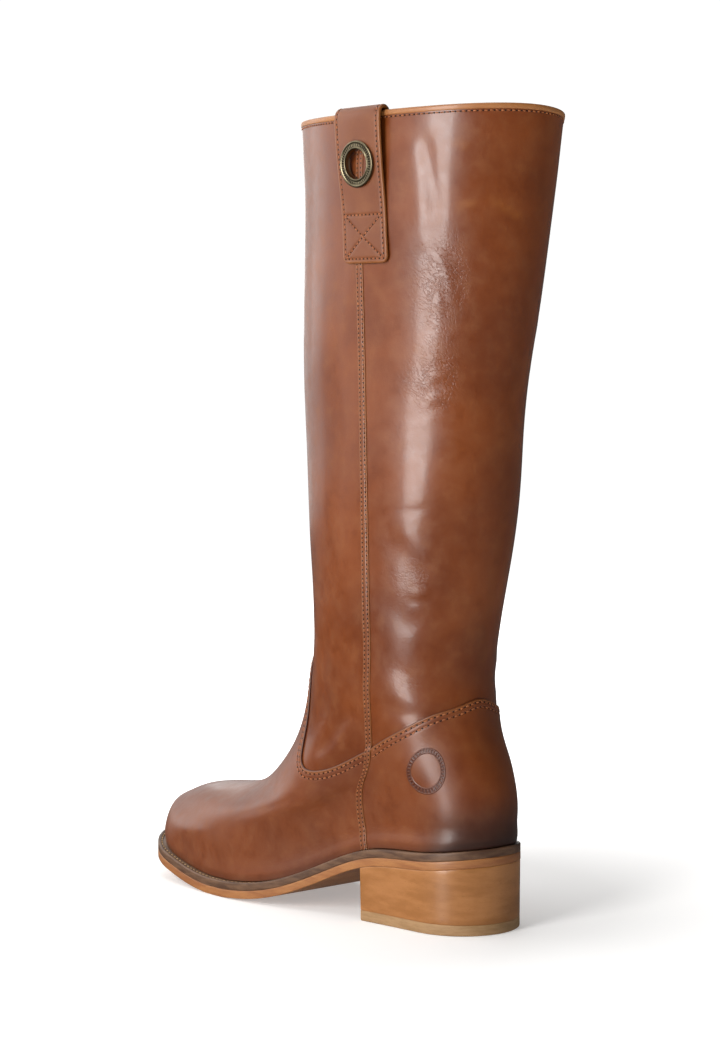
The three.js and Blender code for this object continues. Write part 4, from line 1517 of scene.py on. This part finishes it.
        still = np.zeros(inner.shape[:2])
        wear = 0.5 * smooth(inset, 2.2, 0.4) * smooth(inset, 0.05, 0.5)
        # darker low on the heel and at the toe, and painted shade along the welt
        burnish = self.burnish(angle, points)
        cut = smooth(inset, 0.55, 0.1)
        surface = grid(
            closed_wall(outer, inner),
            True,
            False,
            wear=closed_wall(wear, still),
            burnish=closed_wall(burnish, still),
            cut=closed_wall(cut, still + 1.0),
            wrinkle=closed_wall(0.25 * CREASES.wrinkled(angle, height), still),
        )
        make_piece(name, surface, self.finishes.overlay, [node])
        self.sew_edge(angle, loop, out, inset, front)

    def overlay_relief(self, angle: np.ndarray, height: np.ndarray, inset: np.ndarray) -> np.ndarray:
        """Long soft waves in the vamp and the counter, none at the welt or the cut edge.

        Args:
            angle: Angle round the boot.
            height: Height over the ground.
            inset: Distance from the cut edge.

        Returns:
            Distance outwards at each point.
        """
        waves = (
            0.14 * np.sin(3.0 * angle + height / 15.0 + 0.4)
            + 0.10 * np.sin(5.0 * angle - height / 19.0 + 1.9)
        )
        around = np.degrees(angle) % 360.0
        folds = (
            Fold((150, 86), (180, 82), (210, 86), 0.3, 5.0, 0.25, 7.0),
            Fold((98, 60), (108, 52), (116, 42), 0.2, 6.0, 0.15, 9.0),
        )
        flat = 0.5 * bell(around - 31.0, 15.0) * bell(height - 84.0, 24.0)
        total = waves - flat + sum(fold.relief(around, height, 1.3) for fold in folds)
        return total * smooth(inset, 4.0, 14.0) * smooth(height - SOLE.stack, 22.0, 48.0)

    def burnish(self, angle: np.ndarray, points: np.ndarray) -> np.ndarray:
        """Leather darker low on the heel and a little at the toe, and painted shade just over the welt where
        the upper meets it.

        Args:
            angle: Angle round the boot; not used.
            points: The outer sheet.

        Returns:
            The share at each point.
        """
        forward, height = -points[..., 1], points[..., 2]
        above = height - SOLE.welt_top(forward)
        heel = smooth(forward, 42.0, 6.0) * smooth(above, 30.0, 2.0)
        toe = smooth(forward, 238.0, 262.0) * smooth(above, 16.0, 0.0)
        # painted shade in the 5 mm over the welt, where the upper meets it
        along = 0.35 * smooth(above, 5.0, 0.0)
        return np.clip(0.85 * heel + 0.4 * toe + along, 0.0, 0.9)

    def sew_edge(
        self, angle: np.ndarray, loop: np.ndarray, out: np.ndarray, inset: np.ndarray, front: bool
    ) -> None:
        """Sews two rows along an overlay's edge, each where the inset reaches its distance.

        Args:
            angle: Angles of the overlay's outer sheet.
            loop: Its loops.
            out: Its distance from the skin.
            inset: Its distance from the cut edge.
            front: The vamp, and not the counter; not used.
        """
        columns = np.arange(angle.shape[1])
        for distance in self.edge_rows:
            deep = inset[::-1] >= distance
            first = deep.shape[0] - 1 - deep.argmax(0)
            far, near = inset[first, columns], inset[first + 1, columns]
            share = np.clip((distance - far) / np.minimum(near - far, -1e-6), 0.0, 1.0)
            at = [
                values[first, columns] + (values[first + 1, columns] - values[first, columns]) * share
                for values in (angle, loop, out)
            ]
            path = SKIN.sheet(at[0], at[1], at[2] - 0.02)
            stitching = Stitching(pitch=3.3, width=0.85, hole=0.5, fill=0.7)
            keep = slice(4, -4)
            self.seams.sew("upper_seam", stitching, path[keep], SKIN.normal(at[0], at[1])[keep])

    def base_out(self, loop: np.ndarray) -> np.ndarray:
        """Face that the seam strip lies on: the skin above the overlays, their face below."""
        return self.overlay_high * smooth(loop, self.joint_loop + 0.35, self.joint_loop - 0.25)

    def strip_point(
        self, loop: np.ndarray, across: np.ndarray, rise: np.ndarray, side: float
    ) -> tuple[np.ndarray, ...]:
        """Point of a seam strip.

        Args:
            loop: Loop of each point.
            across: Distance from the seam's middle, along the skin.
            rise: Distance from the face that the strip lies on.
            side: 1 on the lateral side, -1 on the medial side.

        Returns:
            The points and the normals there.
        """
        middle = self.seam_angle(loop)
        step = 0.01
        speed = SKIN.point(middle + step, loop) - SKIN.point(middle - step, loop)
        angle = side * (middle + across / (np.linalg.norm(speed, axis=-1) / (2.0 * step)))
        height = SKIN.point(angle, loop)[..., 2]
        wave = CREASES.relief(angle, height) * (1.0 - self.covered(angle, loop))
        return SKIN.sheet(angle, loop, wave + self.base_out(loop) + rise), SKIN.normal(angle, loop)

    def build_seam(self, name: str, side: float) -> None:
        """Makes a side seam's strip: a narrow raised band with two sewn grooves.

        Args:
            name: Name of the piece.
            side: 1 on the lateral side, -1 on the medial side.
        """
        across = np.linspace(-1.0, 1.0, 21)
        lift = self.strip_rise * np.sqrt(np.clip(1.0 - np.abs(across) ** 7, 0.0, 1.0))
        x = across * self.strip_half
        for row in self.strip_rows:
            lift = lift - 0.26 * bell(x - row, 0.45)
        under = np.array([0.6, -0.6]) * self.strip_half
        section_x = np.concatenate([x, under])
        section_y = np.concatenate([lift - 0.1, [-0.35, -0.35]])
        loop = np.linspace(0.0, SKIN.top - 0.09, 420)
        v, x2 = np.meshgrid(loop, section_x)
        rise = np.broadcast_to(section_y[:, None], v.shape)
        points, _ = self.strip_point(v, x2, rise, side)
        zero = np.zeros(1)
        wear = 0.45 * bell(np.concatenate([np.abs(across) - 0.9, [1.0, 1.0]]), 0.18)[:, None]
        surface = grid(points, True, False, wear=wear + 0.0 * v, burnish=zero, cut=zero, wrinkle=zero)
        make_piece(name, surface, self.finishes.strap)
        loop = np.linspace(0.1, SKIN.top - 0.16, 1400)
        for row in self.strip_rows:
            rise = np.full(loop.shape, self.strip_rise - 0.36)
            path, normal = self.strip_point(loop, np.full(loop.shape, row), rise, side)
            stitching = Stitching(pitch=2.3, width=0.85, height=0.5, hole=0.46)
            self.seams.sew("upper_seam", stitching, path, normal)

    def build_stamp(self) -> None:
        """Makes the plain embossed ring on the counter: two fine rims with ticks between them."""
        angle0, loop0 = (float(x) for x in SKIN.find(np.array(27.5), np.array(82.0)))
        step = 0.01
        sideways = SKIN.point(angle0 + step, loop0) - SKIN.point(angle0 - step, loop0)
        upwards = SKIN.point(angle0, loop0 + step) - SKIN.point(angle0, loop0 - step)
        around = np.linalg.norm(sideways) / (2 * step)
        upward = np.linalg.norm(upwards) / (2 * step)
        turn = TURN * np.arange(432) / 432.0
        radius = np.linspace(8.0, 11.4, 22)
        r, w = np.meshgrid(radius, turn, indexing="ij")
        ticks = smooth(np.cos(36.0 * w), -0.2, 0.5) * smooth(r, 8.9, 9.2) * smooth(r, 10.5, 10.2)
        rims = bell(r - 8.6, 0.28) + bell(r - 10.8, 0.28)
        press = np.clip(0.2 * rims + 0.2 * ticks, 0.0, 0.26)
        ends = smooth(r, 8.0, 8.35) * smooth(r, 11.4, 11.05)
        a = angle0 + r * np.cos(w) / around
        v = loop0 + r * np.sin(w) / upward
        height = SKIN.point(a, v)[..., 2]
        face = self.overlay_high + self.overlay_relief(a, height, np.full(a.shape, 30.0))
        outer = SKIN.sheet(a, v, face + 0.04 * ends + press * ends - 0.12 * (1.0 - ends))
        inner = SKIN.sheet(a, v, face - 0.5)
        raised = np.clip(press / 0.2, 0.0, 1.0)
        zero = np.zeros(1)
        surface = grid(
            closed_wall(outer, inner), True, True,
            cut=closed_wall((0.55 + 0.45 * (1.0 - raised)) * ends, 0.0 * press),
            wear=zero, burnish=zero, wrinkle=zero,
        )
        make_piece("counter_stamp", surface, self.finishes.overlay)


# ---------- pull strap and eyelet


@dataclass
class PullStrap:
    """Pull strap over the top line on the lateral side, sewn down with a crossed box.

    Its pattern is flat: x across it and s along it from its lower end. The middle line's distance
    out from the shaft and height over the top line are splines of s.
    """

    finishes: Finishes
    seams: SeamBook
    middle: float = 50.8
    half: float = 15.2
    taper: float = 0.06
    thickness: float = 1.8
    corner: float = 4.0
    rounding: float = 0.85
    box_top: float = 24.4
    inset: float = 2.3
    path: tuple[tuple[float, float], ...] = (
        (1.2, -75.4), (1.2, -63), (1.25, -51), (1.9, -40), (2.9, -28), (3.7, -16),
        (4.1, -6), (3.9, -1.4), (2.8, 1.3), (1.0, 2.6), (-1.4, 2.4), (-3.2, 0.6),
        (-4.0, -2.9), (-3.8, -9), (-3.45, -18), (-3.45, -40),
    )
    eyelet_up: float = -25.6
    hole: float = 8.45

    def __post_init__(self) -> None:
        """Makes the splines of the middle line."""
        table = np.array(self.path)
        run = np.concatenate([[0.0], np.cumsum(np.linalg.norm(np.diff(table, axis=0), axis=1))])
        self.length = float(run[-1])
        self.out, self.up = Curve(run, table[:, 0]), Curve(run, table[:, 1])
        fine = np.linspace(0.0, run[6], 2000)
        self.eyelet_at = float(np.interp(self.eyelet_up, self.up(fine), fine))

    def half_at(self, s: np.ndarray) -> np.ndarray:
        """Half breadth of the strap, drawn in at the lower end's rounded corners.

        Args:
            s: Place up the pattern from its lower end.

        Returns:
            The half breadth there.
        """
        full = self.half * (1.0 + self.taper * np.clip(1.0 + self.up(s) / 60.0, 0.0, 1.0))
        short = np.clip(self.corner - s, 0.0, self.corner)
        return full - self.corner + np.sqrt(self.corner**2 - short**2)

    def point(self, x: np.ndarray, s: np.ndarray, out: np.ndarray) -> np.ndarray:
        """Points of the strap, a distance out from its middle surface.

        Args:
            x: Place across the strap.
            s: Place up the pattern from its lower end.
            out: Distance outwards from the middle surface.

        Returns:
            The points.
        """
        step = 0.3
        d_out = self.out(s + step) - self.out(s - step)
        d_up = self.up(s + step) - self.up(s - step)
        size = np.hypot(d_out, d_up)
        off = self.out(s) + out * d_up / size
        up = self.up(s) - out * d_out / size
        forward = self.middle + x
        crest = SKIN.point(SKIN.angle_at(forward, float(SKIN.top)), np.full(x.shape, float(SKIN.top)))
        angle, loop = SKIN.find(forward, crest[..., 2] + np.minimum(up, 0.0))
        points = SKIN.sheet(angle, loop, off)
        points[..., 2] += np.maximum(up, 0.0)
        return points

    def lines(self) -> list[np.ndarray]:
        """Sewn lines on the pattern: both long edges, the lower end, the box's top and the cross.

        Returns:
            One path of (x, s) for each line.
        """
        s = np.linspace(self.inset, self.length - 6.0, 240)
        side = self.half_at(np.maximum(s, self.corner)) - self.inset
        wide = float(self.half_at(np.array(8.0))) - self.inset
        across = np.linspace(-wide, wide, 60)
        level = np.full(across.shape, 1.0)
        cross = np.linspace(self.inset, self.box_top, 60)
        return [
            np.stack([side, s], -1),
            np.stack([-side, s], -1),
            np.stack([across, self.inset * level], -1),
            np.stack([across, self.box_top * level], -1),
            np.stack([across, cross], -1),
            np.stack([-across, cross], -1),
        ]

    def relief(self, x: np.ndarray, s: np.ndarray) -> tuple[np.ndarray, np.ndarray]:
        """Half thickness over the pattern and the distance to its nearest cut edge.

        The half thickness rounds off as a quarter circle at every edge and dips along the
        stitches; between the stitches of the box the leather is a little plump.

        Args:
            x: Place across the strap.
            s: Place up the pattern from its lower end.

        Returns:
            The half thickness and the distance.
        """
        edge = self.half_at(s) - np.abs(x)
        ends = np.minimum(s, self.length - s)
        to_hole = np.hypot(x, s - self.eyelet_at) - self.hole
        inset = np.clip(np.minimum(np.minimum(edge, ends), to_hole), 0.0, None)
        share = np.clip(1.0 - inset / self.rounding, 0.0, 1.0)
        half = self.thickness / 2.0 * np.sqrt(1.0 - share**2)
        pattern = np.stack([x, s], -1)
        gap, _ = nearest(pattern, np.concatenate(self.lines()))
        dip = 0.24 * bell(gap, 0.75)
        return np.where(half > dip + 0.2, half - dip, half), inset

    def build(self) -> None:
        """Makes the strap with its hole, its stitches and the eyelet."""
        columns, rows = 72, 250
        u, s = np.meshgrid(np.linspace(-1.0, 1.0, columns), np.linspace(0.0, self.length, rows))
        x = u * self.half_at(s)
        from_hole = np.stack([x, s - self.eyelet_at], -1)
        away = np.linalg.norm(from_hole, axis=-1, keepdims=True)
        inside = away[..., 0] < self.hole
        index = np.arange(rows * columns).reshape(rows, columns)
        corners = (index[:-1, :-1], index[:-1, 1:], index[1:, 1:], index[1:, :-1])
        quads = np.stack(corners, -1).reshape(-1, 4)
        quads = quads[~inside.ravel()[quads].all(1)]
        rim = np.where(inside[..., None], from_hole / np.maximum(away, 1e-6) * self.hole, from_hole)
        x, s = rim[..., 0], rim[..., 1] + self.eyelet_at
        half, inset = self.relief(x, s)
        x, s, half, inset = x.ravel(), s.ravel(), half.ravel(), inset.ravel()
        used = np.unique(quads)
        number = np.full(rows * columns, -1)
        number[used] = np.arange(len(used))
        quads = number[quads]
        front = self.point(x[used], s[used], half[used])
        back = self.point(x[used], s[used], -half[used])
        wear = 0.55 * smooth(inset[used], 1.6, 0.3)
        zero = np.zeros(2 * len(used))
        surface = Surface(
            np.concatenate([front, back]),
            np.concatenate([quads, quads[:, ::-1] + len(used)]),
            values={"wear": np.tile(wear, 2), "burnish": zero, "cut": zero, "wrinkle": zero},
        ).turned_out()
        make_piece("pull_strap_leather", surface, self.finishes.strap, ["pull_strap"], merge=True)
        for line in self.lines():
            x, s = line[:, 0], line[:, 1]
            half, _ = self.relief(x, s)
            path = self.point(x, s, half)
            up = unit(path - self.point(x, s, half - 0.5))
            stitching = Stitching(pitch=2.5, width=0.85, height=0.5, hole=0.46)
            self.seams.sew("strap_seam", stitching, path, up)
        self.build_eyelet()

    def build_eyelet(self) -> None:
        """Makes the eyelet: a flanged ring whose band carries plain ticks between two beads."""
        step = 3.0
        centre = self.point(np.zeros(1), np.array([self.eyelet_at]), np.full(1, self.thickness / 2.0))[0]
        ends = np.array([-step, step])
        x_dir = self.point(ends, np.full(2, self.eyelet_at), np.zeros(2))
        s_dir = self.point(np.zeros(2), self.eyelet_at + ends, np.zeros(2))
        across = unit(x_dir[1] - x_dir[0])
        axis = unit(np.cross(s_dir[1] - s_dir[0], across))
        if axis[0] < 0.0:
            axis = -axis
        along = np.cross(axis, across)
        profile = np.array(
            [
                (7.5, -2.0), (7.5, -0.6), (7.5, 0.8), (7.58, 1.2), (7.8, 1.48), (8.1, 1.58), (8.4, 1.48),
                (8.6, 1.28), (8.7, 1.12), (8.9, 1.05), (9.3, 1.04), (9.7, 1.03), (10.1, 1.02), (10.4, 1.04),
                (10.55, 1.14), (10.8, 1.3), (11.1, 1.36), (11.45, 1.26), (11.7, 1.0), (11.8, 0.65),
                (11.75, 0.3), (11.5, 0.1), (8.52, 0.1), (8.4, 0.0), (8.4, -2.0),
            ]
        )
        turn = TURN * np.arange(384) / 384.0
        radius, rise = profile[:, 0][:, None], profile[:, 1][:, None]
        band = smooth(radius, 8.65, 8.95) * smooth(radius, 10.5, 10.25) * (rise > 0.9)
        ticks = band * smooth(np.cos(48.0 * turn), -0.1, 0.45)[None, :]
        lift = rise + 0.16 * ticks
        points = (
            centre
            + (radius * np.cos(turn))[..., None] * across
            + (radius * np.sin(turn))[..., None] * along
            + (lift + 0.0 * turn)[..., None] * axis
        )
        surface = grid(points, True, True, recess=band * (1.0 - ticks))
        make_piece("eyelet_ring", surface, self.finishes.brass, ["eyelet"])


# ---------- the bottom


@dataclass
class Bottom:
    """Welt, outsole, heel block, top lift and insole."""

    finishes: Finishes
    seams: SeamBook
    around: int = 480

    def heights(self, ring: np.ndarray, above: float) -> np.ndarray:
        """Points of a ring at a distance over the sole's underside."""
        level = SOLE.underside(-ring[:, 1]) + above
        return np.concatenate([ring, level[:, None]], 1)

    def shrunk(self, ring: np.ndarray, share: float, middle: float, spine: float) -> np.ndarray:
        """A ring drawn in towards the spine.

        Sideways it goes to the middle line by the share; lengthwise it keeps the spine's part of
        its length, so at share 0 it is folded flat on the spine.

        Args:
            ring: The outline.
            share: 1 leaves it and 0 folds it flat.
            middle: The spine's middle.
            spine: Part of the length that is kept.

        Returns:
            The ring drawn in.
        """
        centre_line, _ = SOLE.section(np.clip(-ring[:, 1], 0.0, SOLE.length))
        side = centre_line + (ring[:, 0] - centre_line) * share
        forward = middle + (ring[:, 1] - middle) * (share + (1.0 - share) * spine)
        return np.stack([side, forward], -1)

    def slab(self, rings: list[np.ndarray]) -> Surface:
        """A plate from rings stacked from its folded top centre, over the edge, to its bottom."""
        return grid(np.stack(rings), False, True)

    def build(self) -> None:
        """Makes every piece of the bottom."""
        self.build_welt()
        self.build_outsole()
        self.build_heel()
        self.build_insole()

    def build_welt(self) -> None:
        """Makes the welt: a ring with a rounded edge and a shallow sewn channel."""
        low, high = SOLE.outsole + SOLE.gap, SOLE.stack
        section = [
            (11.0, low), (4.0, low), (0.3, low - 0.15), (0.1, low), (0.0, low + 0.5), (0.05, low + 2.1),
            (0.0, high - 1.0), (0.12, high - 0.4), (0.45, high - 0.08), (1.0, high + 0.02),
            (1.6, high - 0.05), (2.0, high - 0.4), (2.5, high - 0.7), (3.1, high - 0.6),
            (3.8, high - 0.2), (6.0, high), (11.0, high),
        ]
        rings = []
        for inset, above in section:
            ring = SOLE.ring(self.around, inset)
            rings.append(self.heights(ring, above))
        points = np.stack(rings)
        surface = grid(points, True, True)
        make_piece("welt_strip", surface, self.finishes.welt, ["welt"])
        ring = SOLE.ring(2400, 2.3)
        path = self.heights(ring, high - 0.5)
        up = np.tile([0.0, 0.0, 1.0], (len(path), 1))
        forward = -ring[:, 1]
        keep = np.nonzero(forward > 92.0)[0]
        stitching = Stitching(pitch=3.4, width=1.1, height=0.8, fill=0.74, hole=0.5)
        self.seams.sew("welt_seam", stitching, path[keep], up[keep])

    def build_outsole(self) -> None:
        """Makes the outsole: a plate of sole leather with softened edges."""
        thick = SOLE.outsole
        edge = [(0.0, thick - 0.2), (0.02, thick - 1.4), (0.0, thick / 2.0)]
        edge += [(0.0, 0.7), (0.06, 0.3), (0.22, 0.06)]
        top, bottom = (0.12, thick + 0.1), (0.6, 0.0)
        rings = [
            self.heights(self.shrunk(SOLE.ring(self.around, 0.3), k, -134.0, 0.72), thick)
            for k in (0.0, 0.5, 0.9)
        ]
        rings.append(self.heights(SOLE.ring(self.around, top[0]), top[1]))
        rings += [self.heights(SOLE.ring(self.around, inset), above) for inset, above in edge]
        rings.append(self.heights(SOLE.ring(self.around, bottom[0]), bottom[1]))
        rings += [
            self.heights(self.shrunk(SOLE.ring(self.around, 0.9), k, -134.0, 0.72), 0.0)
            for k in (0.95, 0.85, 0.7, 0.5, 0.3, 0.15, 0.0)
        ]
        plate = self.slab(rings)
        make_piece("outsole_leather", plate, self.finishes.sole, ["outsole"], merge=True)

    def build_heel(self) -> None:
        """Makes the heel block under the seat and the top lift that it stands on."""
        middle = -36.0

        def plate(levels: list[tuple[float, float | HeightRule]]) -> Surface:
            """Rings of the heel's outline at (inset, height), folded flat at both ends.

            Args:
                levels: Inset and height of each ring.

            Returns:
                The plate.
            """
            rings = []
            for number, (inset, level) in enumerate(levels):
                ring = SOLE.heel_ring(200, inset)
                if number in (0, len(levels) - 1):
                    ring = self.fold(ring, middle)
                height = level(-ring[:, 1]) if callable(level) else np.full(len(ring), level)
                rings.append(np.concatenate([ring, height[:, None]], 1))
            return self.slab(rings)

        def seat(drop: float) -> HeightRule:
            """Height a little under the outsole, as a function of the place."""
            return lambda forward: SOLE.underside(forward) - 0.02 - drop

        low = SOLE.top_lift + SOLE.gap
        rows = [(0.3, seat(0.0)), (0.3, seat(0.0)), (0.2, seat(0.1)), (0.16, seat(0.5))]
        for share in np.linspace(0.08, 0.92, 10):
            rows.append((0.16 + 0.3 * share, self.between(share, low)))
        rows += [(0.46, low + 0.3), (0.5, low + 0.05), (0.6, low - 0.2), (0.6, low - 0.2)]
        make_piece("heel_block_wood", plate(rows), self.finishes.heel, ["heel_block"], merge=True)
        high = SOLE.top_lift
        rows = [(0.6, high + 0.08), (0.6, high + 0.08), (0.5, high), (0.45, high - 0.4), (0.44, high / 2.0)]
        rows += [(0.46, 0.6), (0.55, 0.2), (0.9, 0.0), (0.9, 0.0)]
        make_piece("top_lift_rubber", plate(rows), self.finishes.lift, ["top_lift"], merge=True)

    def between(self, share: float, low: float) -> HeightRule:
        """Height at a share of the way from the seat down to the top lift."""
        return lambda forward: (SOLE.underside(forward) - SOLE.gap) * (1.0 - share) + low * share

    def fold(self, ring: np.ndarray, middle: float) -> np.ndarray:
        """The heel's outline drawn in to a small copy of itself round its own centre."""
        centre = np.array([0.0, middle])
        return centre + (ring - centre) * 1e-4

    def build_insole(self) -> None:
        """Makes the insole inside the lining, a little dished along its middle."""
        angle = TURN * (np.arange(300) + 0.5) / 300
        edge = SKIN.sheet(angle, np.zeros(300), -2.25)[:, :2]
        rings = []
        low, high = SOLE.outsole + 0.45, SOLE.stack + 2.4
        levels = ((0.0, low), (0.6, low), (0.985, low), (1.0, low + 0.3), (1.0, high + 0.4))
        levels += ((0.985, high + 0.75),)
        for share, above in levels:
            rings.append(self.heights(self.shrunk(edge, share, -132.0, 0.74), above))
        for share in (0.95, 0.85, 0.7, 0.5, 0.3, 0.15, 0.0):
            rings.append(self.heights(self.shrunk(edge, share, -132.0, 0.74), high + 0.7 * share**2))
        board = self.slab(rings)
        make_piece("insole_board", board, self.finishes.insole, ["insole"], merge=True)


# ---------- the studio


@dataclass
class Studio:
    """Pale floor, soft lights and the camera."""

    lens: float = 75.08
    sensor: float = 36.0
    eye: tuple[float, float, float] = (0.7797, 0.8807, 0.23465)
    heading: float = 136.27
    shift: tuple[float, float] = (-0.0625, -0.051)

    def build(self) -> None:
        """Makes the stage, the lights and the camera."""
        self.build_floor()
        self.build_world()
        centre = (0.0, 0.02, 0.22)
        # a tall softbox beside the boot, towards its lateral side: the long highlight on the shaft
        self.softbox("tall_softbox", 8.5, 1.7, 0.6, 12.5, (0.56, 1.7), centre)
        # a broad one over the camera's left shoulder
        self.softbox("broad_softbox", -30.0, 2.6, 1.0, 1.05, (2.6, 1.9), centre)
        # overhead
        self.softbox("overhead_softbox", -60.0, 0.5, 2.6, 2.2, (1.8, 1.6), centre)
        # a white wall past the toe: the pale veil down the front edge of the shaft
        self.softbox("back_wall", 262.0, 2.2, 1.0, 0.85, (2.2, 1.9), centre)
        # front of the boot
        self.softbox("front_softbox", -70.0, 2.4, 1.7, 1.2, (2.4, 3.2), centre)
        # medial side of the boot, straight behind it: lights the side that faces away
        self.softbox("medial_softbox", 228.0, 2.4, 1.3, 2.0, (1.2, 1.8), centre)
        self.build_camera()

    def softbox(
        self,
        name: str,
        azimuth: float,
        distance: float,
        height: float,
        radiance: float,
        size: tuple[float, float],
        target: tuple[float, float, float],
    ) -> None:
        """Makes one rectangular softbox facing the boot.

        Args:
            name: Name of the light.
            azimuth: Direction from the boot in degrees, 0 to the lateral side and 90 to the back.
            distance: Distance from the boot's middle, on the ground plan, in metres.
            height: Height of its centre, in metres.
            radiance: Brightness of its face.
            size: Breadth and height, in metres.
            target: Point that it faces.
        """
        lamp = bpy.data.lights.new(name, "AREA")
        lamp.shape = "RECTANGLE"
        lamp.size, lamp.size_y = size
        lamp.energy = radiance * math.pi * size[0] * size[1]
        lamp.color = (1.0, 0.985, 0.965)
        light = bpy.data.objects.new(name, lamp)
        bpy.context.scene.collection.objects.link(light)
        turn = math.radians(azimuth)
        light.location = (
            target[0] + distance * math.cos(turn),
            target[1] + distance * math.sin(turn),
            height,
        )
        aim = [t - p for t, p in zip(target, light.location)]
        flat = math.hypot(aim[0], aim[1])
        light.rotation_euler = (math.atan2(flat, -aim[2]), 0.0, math.atan2(-aim[0], aim[1]))

    def build_world(self) -> None:
        """Makes the white surround: bright where it is seen, softer where it lights the boot."""
        world = bpy.data.worlds.new("white_surround")
        bpy.context.scene.world = world
        world.use_nodes = True
        tree = world.node_tree
        tree.nodes.clear()
        seen = add_node(tree, "LightPath").outputs["Is Camera Ray"]
        strength = add_node(tree, "MapRange", None, {"Value": seen, 3: 0.08, 4: 1.05}).outputs[0]
        glow = add_node(tree, "Background", None, {"Color": (1.0, 1.0, 1.0, 1.0), "Strength": strength})
        add_node(tree, "OutputWorld", None, {"Surface": glow.outputs[0]})

    def build_floor(self) -> None:
        """Makes a wide round floor of matt white board that glows as painted light: dimmer near the boot so
        that its cast shadow shows, up to full white further off and behind it.
        """
        turn = TURN * np.arange(96) / 96.0
        rings = np.array([0.0, 0.6, 1.5, 4.0, 14.0])
        points = np.stack(
            [np.outer(rings, np.cos(turn)), np.outer(rings, np.sin(turn)), np.zeros((5, 96))], -1
        )
        mesh = bpy.data.meshes.new("studio_floor")
        surface = grid(points, False, True)
        mesh.from_pydata(surface.points.tolist(), [], surface.quads[:, ::-1].tolist())
        work = bmesh.new()
        work.from_mesh(mesh)
        bmesh.ops.remove_doubles(work, verts=work.verts, dist=1e-5)
        bmesh.ops.recalc_face_normals(work, faces=work.faces)
        if sum(f.normal.z for f in work.faces) < 0.0:
            bmesh.ops.reverse_faces(work, faces=work.faces)
        work.to_mesh(mesh)
        work.free()
        floor = bpy.data.objects.new("studio_floor", mesh)
        bpy.context.scene.collection.objects.link(floor)
        floor.location.z = -0.0002
        # the board lights the boot from below but isn't mirrored in its wax, which would veil the leather
        floor.visible_glossy = False
        material, tree, shader = new_material(
            "Glowing matt white board", Roughness=0.8, Emission_Strength=1.0, Specular_IOR_Level=0.1
        )
        shader.inputs["Base Color"].default_value = linear("#e4e4e4")
        # the board's glow is painted light: 0.32 near the boot so the cast shadow shows, rising to full white
        # away from it and behind it
        place = add_node(tree, "TexCoord").outputs["Object"]
        behind = (-0.691, -0.723, 0.0)
        dot = {"operation": "DOT_PRODUCT"}
        away = add_node(tree, "VectorMath", dot, {0: place, 1: behind}).outputs["Value"]
        glow = add_node(tree, "MapRange", None, {"Value": away, 1: 0.1, 2: 1.6, 3: 0.32, 4: 1.0}).outputs[0]
        off = add_node(tree, "VectorMath", {"operation": "LENGTH"}, {0: place}).outputs["Value"]
        wide = add_node(tree, "MapRange", None, {"Value": off, 1: 0.15, 2: 0.4, 3: 0.32, 4: 0.9}).outputs[0]
        glow = add_node(tree, "Math", {"operation": "MAXIMUM"}, {0: glow, 1: wide}).outputs[0]
        glow = add_node(tree, "CombineXYZ", None, {0: glow, 1: glow, 2: glow}).outputs[0]
        tree.links.new(glow, shader.inputs["Emission Color"])
        mesh.materials.append(material)

    def build_camera(self) -> None:
        """Makes the camera: level, at the boot's mid height, looking past its outer back corner."""
        data = bpy.data.cameras.new("studio_camera")
        data.lens = self.lens
        data.sensor_width = self.sensor
        data.sensor_fit = "AUTO"
        data.shift_x, data.shift_y = self.shift
        camera = bpy.data.objects.new("studio_camera", data)
        camera.location = self.eye
        camera.rotation_euler = (math.pi / 2.0, 0.0, math.radians(self.heading))
        bpy.context.scene.collection.objects.link(camera)
        bpy.context.scene.camera = camera


def main() -> None:
    """Builds the boot and its studio."""
    logging.basicConfig(level=logging.INFO, format="%(name)s %(message)s")
    bpy.context.scene.view_settings.view_transform = "Standard"
    finishes = Finishes()
    seams = SeamBook()
    Upper(finishes, seams).build()
    PullStrap(finishes, seams).build()
    Bottom(finishes, seams).build()
    seams.make(finishes, {"upper_seam": Slot.UPPER, "strap_seam": Slot.STRAP, "welt_seam": Slot.WELT})
    Studio().build()


if __name__ == "__main__":
    main()
